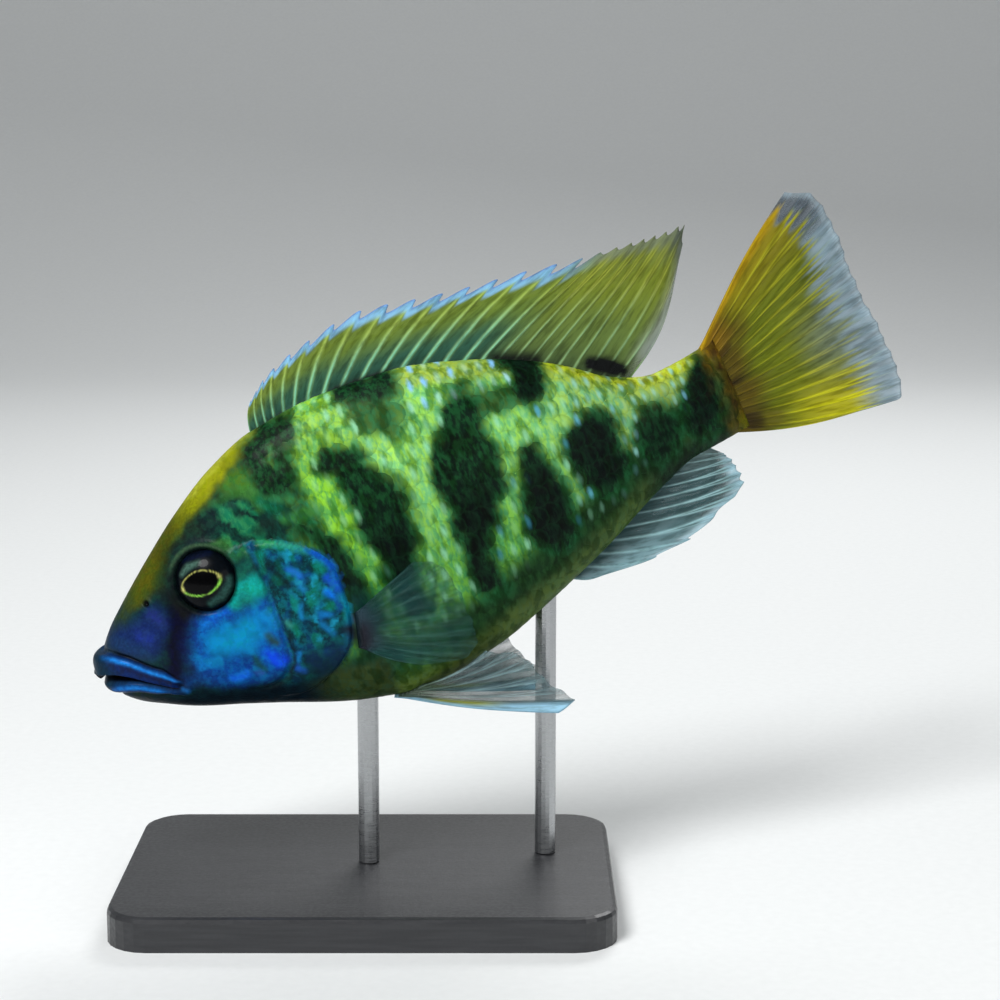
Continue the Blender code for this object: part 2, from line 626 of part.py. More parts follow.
bpy.context.scene.collection.objects.link(stand_base)

ROD_SIDES = 16
trunk_surface = BVHTree.FromObject(trunk, bpy.context.evaluated_depsgraph_get())
for along, name in zip(ROD_PLACES, ("stand_rod_front", "stand_rod_rear")):
    foot = place([along, 0, belly(np.array(along))])
    turn = np.linspace(0, 2 * np.pi, ROD_SIDES, endpoint=False)
    ring = foot[:2] + ROD_RADIUS * np.stack([np.cos(turn), np.sin(turn)], -1)
    spots = np.concatenate([ring, [foot[:2]]])
    tops = [trunk_surface.ray_cast(Vector((*spot, BASE_HEIGHT)), Vector((0, 0, 1)))[0].z - GAP for spot in spots]
    low = np.column_stack([spots, np.full(ROD_SIDES + 1, BASE_HEIGHT + GAP)])
    points = np.concatenate([low, np.column_stack([spots, tops])])
    faces = []
    for j in range(ROD_SIDES):
        k = (j + 1) % ROD_SIDES
        high = ROD_SIDES + 1
        faces += [(j, k, high + k), (j, high + k, high + j), (ROD_SIDES, k, j), (high + ROD_SIDES, high + j, high + k)]
    make_object(name, points, faces, STEEL)
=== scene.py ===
"""A venustus cichlid as a life-size still model on its display stand, with skin, scales, fins and eyes.

The fish is laid out straight, in metres: along from the snout, across from the middle plane (left is
negative) and up. place() bends and tilts that layout into the pose above the stand.
"""

import bmesh
import bpy
import numpy as np
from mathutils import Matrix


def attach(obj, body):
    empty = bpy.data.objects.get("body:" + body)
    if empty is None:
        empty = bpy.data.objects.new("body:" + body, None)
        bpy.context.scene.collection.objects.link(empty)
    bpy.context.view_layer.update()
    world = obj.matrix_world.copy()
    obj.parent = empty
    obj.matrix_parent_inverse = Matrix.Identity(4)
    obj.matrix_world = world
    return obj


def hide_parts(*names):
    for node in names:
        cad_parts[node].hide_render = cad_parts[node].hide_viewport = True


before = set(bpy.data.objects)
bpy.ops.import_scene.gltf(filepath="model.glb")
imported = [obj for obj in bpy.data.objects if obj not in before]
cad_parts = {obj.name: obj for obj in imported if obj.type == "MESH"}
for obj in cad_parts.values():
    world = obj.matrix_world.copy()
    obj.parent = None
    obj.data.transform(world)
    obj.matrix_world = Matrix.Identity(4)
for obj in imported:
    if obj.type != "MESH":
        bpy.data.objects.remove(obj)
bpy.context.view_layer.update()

# Body layout. The straight fish is a row of cross-sections between the outlines of back and belly,
# each half an ellipse above the widest level and a fuller one below.
MM = 0.001
SIDES = ((-1, "left"), (1, "right"))


def smooth_curve(knots, values):
    """Monotone cubic through a few knots: slopes are harmonic means of the neighbouring chords."""
    knots = np.asarray(knots, float)
    values = np.asarray(values, float)
    run = np.diff(knots)
    chord = np.diff(values) / run
    slope = np.empty_like(values)
    slope[0], slope[-1] = chord[0], chord[-1]
    before, after = chord[:-1], chord[1:]
    weight_a = 2 * run[1:] + run[:-1]
    weight_b = run[1:] + 2 * run[:-1]
    same = before * after > 0
    inverse = weight_a / np.where(same, before, 1) + weight_b / np.where(same, after, 1)
    slope[1:-1] = np.where(same, (weight_a + weight_b) / inverse, 0)

    def curve(x):
        x = np.clip(np.asarray(x, float), knots[0], knots[-1])
        k = np.clip(np.searchsorted(knots, x) - 1, 0, len(run) - 1)
        t = (x - knots[k]) / run[k]
        rise = values[k] * (1 + 2 * t) * (1 - t) ** 2 + values[k + 1] * t * t * (3 - 2 * t)
        lean = run[k] * (slope[k] * t * (1 - t) ** 2 - slope[k + 1] * t * t * (1 - t))
        return rise + lean

    return curve


def mm_curve(*points):
    """Smooth curve through (along, value) points given in millimetres."""
    knots, values = zip(*points)
    return smooth_curve(np.array(knots) * MM, np.array(values) * MM)


def ease(x, start, end):
    """0 at start, 1 at end, a smooth step between them."""
    t = np.clip((np.asarray(x, float) - start) / (end - start), 0, 1)
    return t * t * (3 - 2 * t)


def ease_mm(x, start, end):
    """ease() between two places given in millimetres."""
    return ease(x, start * MM, end * MM)


def bell(value, centre, width):
    """exp(-((value - centre) / width)^2): 1 at the centre."""
    return np.exp(-((value - centre) / width) ** 2)


def apart(x, z, along, up):
    """Distance in millimetres from a place in side view."""
    return np.hypot(x - along, z - up) / MM


back = mm_curve((0, -1.4), (0.8, 0.2), (2.5, 2.0), (4.2, 3.4), (5.5, 5.0), (7, 6.7), (11, 10.4), (20, 18.0),
                (31, 26.4), (42, 33.2), (54, 37.9), (72, 40.2), (88, 39.6), (105, 35.6), (124, 27.3),
                (140, 16.9), (150, 13.8), (165, 14.2), (168, 15.4))
belly = mm_curve((0, -3.2), (1.2, -4.3), (2.2, -5.9), (3.4, -7.8), (5, -9.7), (8, -12.2), (12, -14.4),
                 (19, -17.9), (30, -21.8), (37, -24.4), (55, -31.0), (71, -33.9), (88, -31.4), (107, -25.3),
                 (124, -18.9), (140, -12.2), (152, -8.9), (165, -9.0), (168, -9.9))
half_width = mm_curve((0, 3.2), (0.6, 4.6), (2, 6.2), (5, 7.9), (10, 9.6), (18, 11.2), (32, 13.0),
                      (46, 14.0), (62, 14.7), (78, 14.2), (98, 12.0), (120, 8.7), (140, 5.6), (152, 4.3),
                      (162, 3.3), (168, 0.6))
widest = mm_curve((0, -2.4), (10, -5.0), (24, -6.0), (44, -5.5), (62, -4.0), (98, -2.0), (124, 1.0),
                  (165, 2.6))
mouth_line = mm_curve((0, -2.0), (1.5, -2.1), (4, -2.5), (8, -4.3), (12, -7.0), (15, -8.9), (18, -10.7),
                      (24, -15.4), (32, -20.8), (38, -25.4), (60, -48.0))


def spine_frame():
    """Middle line of the bent fish with its side and up directions, sampled every half millimetre.

    It heads 6 degrees to the fish's right at the snout and 27 at the tail, which also rises by 7 degrees.
    """
    along = np.arange(-10, 240, 0.5) * MM
    yaw = np.radians(6) + np.radians(21) * ease_mm(along, 52.5, 184)
    lift = np.radians(7) * ease_mm(along, 131, 192.5)
    forward = np.stack([np.cos(yaw) * np.cos(lift), np.sin(yaw) * np.cos(lift), np.sin(lift)], 1)
    up = np.stack([-np.sin(lift) * np.cos(yaw), -np.sin(lift) * np.sin(yaw), np.cos(lift)], 1)
    side = np.stack([-np.sin(yaw), np.cos(yaw), 0 * yaw], 1)
    steps = (forward[1:] + forward[:-1]) / 2 * np.diff(along)[:, None]
    line = np.concatenate([np.zeros((1, 3)), np.cumsum(steps, 0)])
    snout = np.array([np.interp(0, along, line[:, k]) for k in range(3)])
    return along, line - snout, side, up


SPINE = spine_frame()
PITCH, ROLL = np.radians(20), np.radians(4)
TILT = np.array([[np.cos(PITCH), 0, -np.sin(PITCH)], [0, 1, 0], [np.sin(PITCH), 0, np.cos(PITCH)]])
LEAN = np.array([[1, 0, 0], [0, np.cos(ROLL), -np.sin(ROLL)], [0, np.sin(ROLL), np.cos(ROLL)]])


def bend_and_tilt(points):
    """Layout points carried onto the bent middle line, then leaned and pitched."""
    points = np.asarray(points, float)
    along, line, side, up = SPINE
    at = [np.stack([np.interp(points[..., 0], along, table[:, k]) for k in range(3)], -1)
          for table in (line, side, up)]
    bent = at[0] + points[..., 1:2] * at[1] + points[..., 2:3] * at[2]
    return bent @ (TILT @ LEAN).T


BASE_HEIGHT, CLEARANCE = 8 * MM, 38 * MM
lowest = bend_and_tilt([96 * MM, -11 * MM, -49 * MM])
balance = bend_and_tilt([68 * MM, 0, 0])
SNOUT = np.array([-balance[0], -balance[1], BASE_HEIGHT + CLEARANCE - lowest[2]])


def place(points):
    """Layout points to their place above the stand."""
    return bend_and_tilt(points) + SNOUT


def section_angle(along, height):
    """Angle from the ridge of the back, 0, to the keel of the belly, pi, of a height on the section."""
    mid = widest(along)
    above = (height - mid) / (back(along) - mid)
    below = (height - mid) / (mid - belly(along))
    return np.arccos(np.clip(np.where(height > mid, above, below), -1, 1))


def section_point(along, angle, side):
    """Point of the cross-section at an angle; an angle past the ridge or keel runs on to the other side."""
    mid = widest(along)
    cosine, sine = np.cos(angle), np.sin(angle)
    height = mid + np.where(cosine > 0, (back(along) - mid) * cosine, (mid - belly(along)) * cosine)
    width = half_width(along) * np.sign(sine) * np.abs(sine) ** np.where(cosine > 0, 1.06, 0.86)
    return np.stack(np.broadcast_arrays(along, side * width, height), -1)


def outward(along, angle, side):
    """Unit normal of the body, from its slopes along the fish and around the section."""
    small, turn = 0.05 * MM, 0.01
    ahead = section_point(along + small, angle, side) - section_point(along - small, angle, side)
    around = section_point(along, angle + turn, side) - section_point(along, angle - turn, side)
    normal = np.cross(ahead, around) * np.asarray(side)[..., None]
    return normal / np.linalg.norm(normal, axis=-1, keepdims=True)


# Relief of the head: thick lips round the mouth, bony rims of the eye sockets, nostrils, the edge of the
# cheek and the gill cover, a plate whose rear edge stands free of the shoulder.
EYE = 32.3 * MM, 11.4 * MM
NOSTRIL = 17.5 * MM, 10.5 * MM


def rounded(*corners):
    """Closed outline through a few (along, up) corners in millimetres, its corners cut three times."""
    line = np.array(corners, float) * MM
    for _ in range(3):
        following = np.roll(line, -1, 0)
        line = np.stack([line * 0.75 + following * 0.25, line * 0.25 + following * 0.75], 1).reshape(-1, 2)
    return line


def depth_inside(x, z, outline):
    """Distance from an outline, positive inside and negative outside."""
    near = np.full(np.shape(x), np.inf)
    inside = np.zeros(np.shape(x), bool)
    for (ax, az), (bx, bz) in zip(outline, np.roll(outline, -1, 0)):
        run, rise = bx - ax, bz - az
        part = np.clip(((x - ax) * run + (z - az) * rise) / (run * run + rise * rise), 0, 1)
        near = np.minimum(near, np.hypot(x - ax - part * run, z - az - part * rise))
        crosses = (az > z) != (bz > z)
        inside ^= crosses & (x < ax + run * (z - az) / np.where(rise == 0, 1, rise))
    return np.where(inside, near, -near)


CHEEK = rounded((45.2, 15.0), (44.6, 4.0), (44.6, -5.0), (44.2, -11.5), (41.5, -15.6), (37.0, -17.6),
                (29.0, -15.6), (22.0, -11.0), (19.0, -3.0), (22.0, 4.0), (30.0, 4.0), (39.0, 10.0),
                (42.0, 15.5))
GILL = rounded((38.0, 16.4), (47.5, 16.0), (53.5, 13.6), (58.0, 9.6), (60.6, 6.0), (61.0, 0.0),
               (60.6, -6.0), (59.0, -13.0), (54.5, -18.0), (48.5, -21.0), (42.7, -22.4), (34.0, -20.5),
               (28.0, -15.0), (30.0, 0.0), (36.0, 10.0))
MOUTH_CORNER = 18.0 * MM, -9.9 * MM


def mouth_gap(x):
    """Height of the open mouth, widest at the front."""
    return (0.25 + 1.8 * (1 - ease_mm(x, 2.5, 12))) * MM


def lip_parts(x, z):
    """Height over the mouth's line, and shares across the two lips, each 1 at the crease behind the lip."""
    above = z - mouth_line(x)
    upper = above / ((4.4 + 0.6 * ease_mm(x, 2, 6) - 0.8 * ease_mm(x, 9, 15)
                      - 1.4 * ease_mm(x, 15, 18)) * MM)
    lower = (-above - mouth_gap(x)) / ((2.8 - 1.3 * ease_mm(x, 11, 16)) * MM)
    return above, upper, lower


def relief(x, z, covered=True):
    """Height of the head's relief over the plain section, from the place in side view.

    covered=False leaves the gill cover's plate away, for what grows beneath it.
    """
    above, upper, lower = lip_parts(x, z)
    fade = 1 - ease_mm(x, 15.5, 18.5)
    roll_up = np.sin(np.pi * np.clip(upper, 0, 1) ** 2.4) ** 0.7 * 0.95
    roll_low = np.sin(np.pi * np.clip(lower, 0, 1) ** 0.9) ** 0.7 * 0.75
    creases = 0.6 * bell(upper, 1.1, 0.09) + 0.4 * bell(lower, 1.2, 0.16)
    slot = ease_mm(above, 0.2, -0.25) * ease_mm(above + mouth_gap(x), -0.25, 0.2)
    slot *= (2.0 * (1 - ease_mm(x, 4, 14)) + 0.7) * (1 - ease_mm(x, 15.5, 18))
    height = (roll_up + roll_low - creases) * fade - slot
    corner = apart(x, z, *MOUTH_CORNER)
    height += 0.2 * bell(corner, 2.0, 0.7) - 0.3 * bell(corner, 0, 0.9)
    eye = apart(x, z, *EYE)
    height += 0.35 * bell(eye, 8.3, 0.8) - 3.2 * (1 - ease(eye, 5.8, 7.6))
    nostril = apart(x, z, *NOSTRIL)
    height += 0.2 * bell(nostril, 1.05, 0.35) - 0.7 * (1 - ease(nostril, 0.3, 0.85))
    cheek = depth_inside(x, z, CHEEK) / MM
    rear = ease_mm(x, 30, 42)
    height += rear * (0.7 * ease(cheek, -0.1, 0.9) - 0.45 * bell(cheek, -0.5, 0.45))
    gill = depth_inside(x, z, GILL) / MM
    plate = ease_mm(x, 36, 47) * covered
    height += plate * (1.15 * ease(gill, -0.1, 0.8) + 0.3 * ease(gill, 0.5, 6))
    height -= plate * 0.5 * bell(gill, -0.8, 0.6)
    seam = np.abs((z + 12.5 * MM) + (x - 52 * MM) * 0.28) / MM
    height -= 0.22 * bell(seam, 0, 0.5) * ease(gill, 0.5, 1.5) * ease(cheek, -0.5, -1.5)
    return height * MM


# Markings. Dark bars and saddles lie on a lime-green flank, the head is blue with a yellow blaze over the
# forehead, and the belly is dark olive. Each mark is a rounded shape in side view with a soft edge. A few
# marks
# are painted light: highlights on the lips, the nape's outline, the eye socket's rim and the gill cover's
# rim, shade in the lips' creases, the mouth, the nostrils and the cheek's groove, and shadow behind the gill
# cover.
def linear(code):
    """sRGB hex colour to linear light."""
    channel = np.array([int(code[k:k + 2], 16) for k in (1, 3, 5)]) / 255
    return np.where(channel <= 0.04045, channel / 12.92, ((channel + 0.055) / 1.055) ** 2.4)


class Coat:
    """Paint in layers, one or more colours to a point: a new layer is colour * mask + old * (1 - mask)."""

    def __init__(self, like, *codes):
        self.shown = [np.broadcast_to(linear(code), np.shape(like) + (3,)) for code in codes]

    def lay(self, mask, *codes):
        mask = np.clip(mask, 0, 1)[..., None]
        self.shown = [linear(code) * mask + old * (1 - mask) for old, code in zip(self.shown, codes)]


def mottle(x, z, size, seed):
    """Random field from 0 to 1 with patches about size across: a lattice of draws joined by smooth steps."""
    draws = np.random.default_rng(seed).random((64, 64))
    u, v = np.asarray(x) / size, np.asarray(z) / size
    i, j = np.floor(u).astype(int), np.floor(v).astype(int)
    right, high = ease(u - i, 0, 1), ease(v - j, 0, 1)
    low = draws[i % 64, j % 64] * (1 - right) + draws[(i + 1) % 64, j % 64] * right
    top = draws[i % 64, (j + 1) % 64] * (1 - right) + draws[(i + 1) % 64, (j + 1) % 64] * right
    return low * (1 - high) + top * high


def beyond(x, z, line):
    """Distance outside a tapered band through (along, up, radius) points in millimetres, negative within."""
    far = np.full(np.shape(x), np.inf)
    for (ax, az, ra), (bx, bz, rb) in zip(np.array(line) * MM, np.array(line[1:]) * MM):
        run, rise = bx - ax, bz - az
        part = np.clip(((x - ax) * run + (z - az) * rise) / (run * run + rise * rise), 0, 1)
        far = np.minimum(far, np.hypot(x - ax - part * run, z - az - part * rise) - ra - (rb - ra) * part)
    return far


def band(x, z, line, soft):
    """Mask of a tapered band, 1 inside, with an edge soft by so many millimetres both ways."""
    return ease(-beyond(x, z, line), -soft * MM, soft * MM)


def patch(x, z, outline, soft):
    """Mask of a region inside an outline, with an edge soft both ways."""
    return ease(depth_inside(x, z, outline), -soft * MM, soft * MM)


def dab(coat, x, z, rows, within=1):
    """Lays bands in order. A row is how soft, how strong, its two colours and its points."""
    for soft, strength, first, second, *line in rows:
        coat.lay(within * band(x, z, line, soft) * strength, first, second)


# (strength, then the band's points) of each bar, saddle and blot, from the nape to the base of the tail
BARS = ((1.0, (51.8, 33.4, 2.9), (56, 35.4, 3.2), (60.6, 36.8, 3.3)),
        (1.0, (52.8, 31.5, 2.8), (54.4, 27.6, 4.2), (56.4, 27, 3.8)),
        (0.95, (58.8, 33.4, 2.8), (58.6, 29, 2.4)),
        (0.6, (55.6, 24.5, 1.4), (56.6, 20.5, 1.1)),
        (1.0, (56.4, 13.8, 2.0), (60.2, 10.8, 2.8), (62.6, 5, 2.8), (63.1, -10, 2.7)),
        (1.0, (67.0, 26.8, 3.0), (70.6, 26.4, 3.5), (74.0, 25.8, 2.8)),
        (1.0, (71.4, 22, 4.3), (74.6, 15, 5.4), (75.2, 10, 5.7), (75.0, 4, 5.2), (74.4, -1, 4.6),
         (73.6, -10, 4.1)),
        (1.0, (76.6, 38.6, 2.6), (81, 37.8, 3.6), (86.6, 37.6, 3.3)),
        (0.72, (79.4, 33.5, 4.2), (83.5, 31.5, 3.8), (84, 29, 2.6)),
        (1.0, (99.2, 26.8, 4.8), (98, 22, 6.2), (96.2, 15, 7.8), (95.2, 10, 7.8), (93.8, 5, 6.6),
         (92.8, 0, 5.0), (92.0, -6, 3.7), (92.2, -14, 3.2)),
        (0.75, (103.5, 26, 3.4), (108, 24.8, 3.4), (114, 23.4, 3.6)),
        (0.95, (115.8, 33, 4.0), (117.6, 29, 5.6), (116.4, 24.2, 5.2)),
        (1.0, (110.6, 8.6, 3.6), (110.2, 4, 5.5), (109.8, -2, 6.0), (109.4, -8, 5.4)),
        (1.0, (126, 7.4, 7.0), (126, 0.6, 7.1)),
        (0.9, (142.4, 2.6, 5.6), (143, -1, 5.4)),
        (0.95, (160.6, 12, 2.6), (158.6, 6, 5.4), (155.6, 0.8, 5.8)),
        (0.95, (134.4, 22.6, 1.8), (138, 20.4, 2.3), (141.4, 18.2, 1.6)))
FOREHEAD = rounded((3, 2), (8, 6.4), (13, 9.5), (19, 11.6), (24, 15.0), (26.5, 19.5), (31, 23.5),
                   (36, 26.0), (43, 29.5), (50, 35), (62, 39), (60, 46), (36, 38), (16, 24), (0, 6))
NAPE = rounded((34, 18), (41, 15.0), (47, 14.0), (54, 12.0), (60, 10.0), (62.2, 14), (61.4, 21), (60, 27),
               (52, 31), (45, 31.5), (37, 28))
CHEEK_BLUE = rounded((27.0, 3.4), (33.0, 4.6), (43.0, 4.6), (45.0, 1.0), (45.0, -8.0), (43.4, -13.0),
                     (38.0, -14.4), (29.5, -14.2), (24.0, -10.8), (21.4, -5.4), (24.6, 0.4))
JAW = rounded((1, -3.5), (5, -8.8), (14, -11.8), (22, -13.6), (30, -15.6), (38, -17.6), (48, -19.6),
              (58, -18.5), (66, -22), (60, -38), (20, -30), (0, -12))


def flank(coat, x, z, spot):
    """Lays the lime-green flank, its dark belly and bars, and gives their darkness."""
    under_back, over_belly = back(x) - z, z - belly(x)
    coat.lay(ease(mottle(x, z, 8 * MM, 7), 0.35, 0.8) * 0.7, "#A6DC58", "#80C67A")
    coat.lay(ease_mm(x, 76, 68) * 0.9, "#80C02C", "#56A044")
    coat.lay(ease_mm(x, 78, 70) * ease_mm(z, 22, 31) * 0.85, "#90C23C", "#6CB25C")
    coat.lay(ease_mm(z, 14, -8) * 0.8, "#569C34", "#3A8646")
    coat.lay(ease_mm(x, 112, 128) * 0.85, "#9CC05C", "#74B47C")
    coat.lay(ease_mm(x, 134, 146) * ease_mm(z, 5, 11) * 0.8, "#909E44", "#809C58")
    coat.lay(ease_mm(x, 136, 140) * ease_mm(z, 6, 1) * 0.9, "#1C4C28", "#1C5C48")
    coat.lay(ease_mm(under_back, 5.5, 3) * ease_mm(x, 84, 92) * (1 - 0.4 * ease_mm(x, 128, 138)),
             "#A0BA44", "#8CB460")
    coat.lay(ease_mm(under_back, 3, 1.2) * ease_mm(x, 118, 124), "#B2C42A", "#A0A82A")
    coat.lay(ease_mm(over_belly, 20, 13) * ease_mm(x, 60, 84), "#15361A", "#1E4420")
    coat.lay(ease_mm(over_belly, 20, 9) * ease_mm(x, 84, 62) * 0.9, "#305A34", "#346648")
    coat.lay(ease_mm(over_belly, 10, 3) * ease_mm(x, 110, 96) * 0.85, "#5C6E2C", "#5C7038")
    coat.lay(ease_mm(over_belly, 9, 3) * ease_mm(x, 78, 96) * 0.8, "#526A2E", "#4C6838")
    coat.lay(ease_mm(x, 130, 142) * ease_mm(z, 0, -6), "#12281A", "#1A3820")
    fringe, dark, core = (np.zeros(np.shape(x)) for _ in range(3))
    for strength, *line in BARS:
        far = beyond(*spot, line) / MM
        dark = np.maximum(dark, strength * ease(far, 1.4, -1.8))
        core = np.maximum(core, ease(strength, 0.8, 0.95) * ease(far, 0.0, -3.6))
        fringe = np.maximum(fringe, strength * ease(far, 2.4, -0.8))
    coat.lay(fringe * 0.7, "#165C2E", "#16643E")
    coat.lay(dark, "#0B2216", "#194E28")
    low = np.maximum(ease_mm(z, 15, 3), ease_mm(x, 104, 114))
    coat.lay(core * (0.3 + 0.65 * low), "#040B0A", "#081A12")
    return dark


def stalk_end(coat, x, z):
    """Lays the brown and yellow root of the tail fin over the end of the tail stalk."""
    root = ease_mm(x + 4 * MM * (mottle(x, z, 2 * MM, 13) - 0.5), 159, 168)
    coat.lay(root, "#4A400E", "#5E4C14")
    coat.lay(root * ease_mm(z, 7, 12), "#86640C", "#705418")
    coat.lay(root * ease(mottle(x, z, 2.4 * MM, 18), 0.55, 0.75) * 0.8, "#2A200E", "#3A2412")
    coat.lay(root * ease_mm(z, -3, -8), "#6A6A0E", "#766410")


def nape(coat, x, z):
    """Lays the dark teal nape with its slanting streaks and the yellow line along the ridge.

    A pale line on the ridge's outline is a painted highlight.
    """
    under_back = back(x) - z
    region = patch(x, z, NAPE, 2.5)
    coat.lay(region, "#0A2A26", "#0E4034")
    coat.lay(region * ease(mottle(0.8 * x + 0.6 * z, 0.25 * (x - z), 1.1 * MM, 8), 0.45, 0.7) * 0.95,
             "#14704E", "#2A8252")
    coat.lay(region * ease(mottle(x, z, 4.5 * MM, 12), 0.62, 0.82) * 0.8, "#33702C", "#3E7A2E")
    dab(coat, x, z, (
        (2.0, 0.9, "#0E1E22", "#14302A", (36, 21, 2.4), (38.5, 24.5, 2.4)),
        (1.2, 0.8, "#10241E", "#12302A", (47.5, 18, 1.3), (51.5, 18.4, 1.6)),
        (1.4, 0.8, "#0F7048", "#14806A", (50.5, 23.5, 0.9), (53.5, 21, 0.9)),
        (1.3, 0.8, "#357A38", "#2C6A50", (54.5, 18.5, 1.2), (58, 17.5, 1.0)),
        (2.0, 0.9, "#46701A", "#387028", (44, 30, 1.6), (48.5, 30, 2.4))))
    forehead = patch(x, z, FOREHEAD, 1.6)
    coat.lay(forehead, "#3A4A14", "#2E4418")
    olive = forehead * ease_mm(under_back, 6, 2.4) * ease_mm(x, 9, 20)
    coat.lay(olive, "#54540E", "#4C560E")
    coat.lay(olive * ease_mm(x, 27, 38) * ease_mm(under_back, 4.6, 2.6) * ease_mm(x, 58, 53),
             "#8E960E", "#8A8E12")
    # painted highlight: a pale line on the top outline of the nape, where the ridge faces the light
    coat.lay(ease_mm(under_back, 1.2, 0.4) * ease_mm(x, 30, 38) * ease_mm(x, 60, 54) * 0.6,
             "#B4BA3C", "#A8AC30")


def face(coat, x, z):
    """Lays the snout, the dark stripe through the eye and the blue cheek."""
    coat.lay(ease_mm(x, 16, 8) * 0.9, "#22382C", "#20323C")
    coat.lay(ease_mm(x, 8, 5), "#1E3444", "#1A3246")
    dab(coat, x, z, (
        (2.5, 0.7, "#1C2610", "#1C3018", (22, 12, 1.8), (26, 19, 1.6), (34, 23.5, 1.8)),
        (2.0, 1, "#13265A", "#172E60", (9.5, 4.2, 2.8), (14, 3, 4.0), (18.5, 5.5, 3.6)),
        (1.6, 0.8, "#203690", "#20367E", (14, 4, 1.0), (15.5, 3.4, 1.0)),
        (1.5, 0.8, "#24327E", "#1E306C", (18, 8, 0.9), (19.6, 5.6, 0.9)),
        (1.4, 0.7, "#1C3E62", "#1A3458", (8, 4, 1.0), (12, 1.6, 1.0), (14, -1, 0.8)),
        (1.8, 1, "#060828", "#06081E", (24.4, 6, 2.8), (21.4, 0, 2.9), (18.2, -5.6, 2.2), (19, -9, 1.4)),
        (1.8, 0.95, "#0A0C10", "#0C1010", (24, 10, 1.6), (26, 5.5, 2.4), (30, 3.6, 1.6))))
    coat.lay(patch(x, z, CHEEK_BLUE, 3.6) * ease_mm(x, 16, 20) * 0.85, "#0A2A6A", "#083878")
    cheek = patch(x, z, CHEEK_BLUE, 2.4) * ease_mm(x - 0.25 * z, 22.5, 27.5)
    coat.lay(cheek, "#0648A0", "#0660AC")
    coat.lay(cheek * ease(mottle(x, z, 3.2 * MM, 16), 0.5, 0.8) * 0.8, "#083080", "#064890")
    coat.lay(cheek * ease(mottle(x, z, 2.4 * MM, 17), 0.55, 0.8) * 0.7, "#0A7CC8", "#0A84C0")
    dab(coat, x, z, (
        (3, 0.95, "#048CB4", "#0688C2", (30, -3, 2.6), (35, -3.6, 3.4), (38, -2, 2.6)),
        (1.3, 0.85, "#0A62D2", "#0E74D2", (28.5, 2, 1.0), (31, 3, 1.2), (34.5, 3.2, 0.9)),
        (2, 0.7, "#0A3C80", "#0C4A92", (20, -9.4, 1.3), (23.5, -9.6, 1.5), (28, -10.5, 1.6)),
        (1.8, 0.85, "#0C7A60", "#0E8064", (37, 4.6, 1.3), (40.5, 4.4, 1.6)),
        (1.4, 0.7, "#0E6A64", "#0E6C58", (35.4, 5.4, 1.0), (38.6, 6.4, 1.3)),
        (1.6, 0.95, "#0CA49A", "#0C9A84", (36.5, 4.6, 0.8), (39, 8, 1.6), (42.8, 6.8, 2.6)),
        (1.4, 0.85, "#0F4A44", "#12604E", (41, 10.4, 1.4), (43.2, 12, 1.2)),
        (1.4, 0.8, "#2C7A40", "#2A6C44", (40.4, 14.6, 1.3), (43, 15, 1.0)),
        (0.8, 0.8, "#1A7CA8", "#1C6A8A", (44.6, 14, 0.5), (45, 11.6, 0.5)),
        (1.2, 0.8, "#128080", "#1470B8", (43.6, 0.6, 0.8), (44.2, -3, 0.8)),
        (0.9, 1, "#0A48E4", "#0E58E0", (39.6, -8.6, 1.0), (41.8, -11.6, 1.6)),
        (0.8, 1, "#0E62DC", "#1472E0", (29.8, -12, 0.8), (33.2, -12.2, 0.9)),
        (0.9, 0.9, "#23463C", "#1A4A50", (41.4, -5.2, 1.0), (42.4, -6.8, 0.9)),
        (0.9, 0.85, "#114438", "#12504A", (36.6, -9.2, 1.0), (37.4, -12, 1.0)),
        (0.7, 0.7, "#34489C", "#283C88", (35.4, -12.8, 0.6), (36.2, -13, 0.6))))


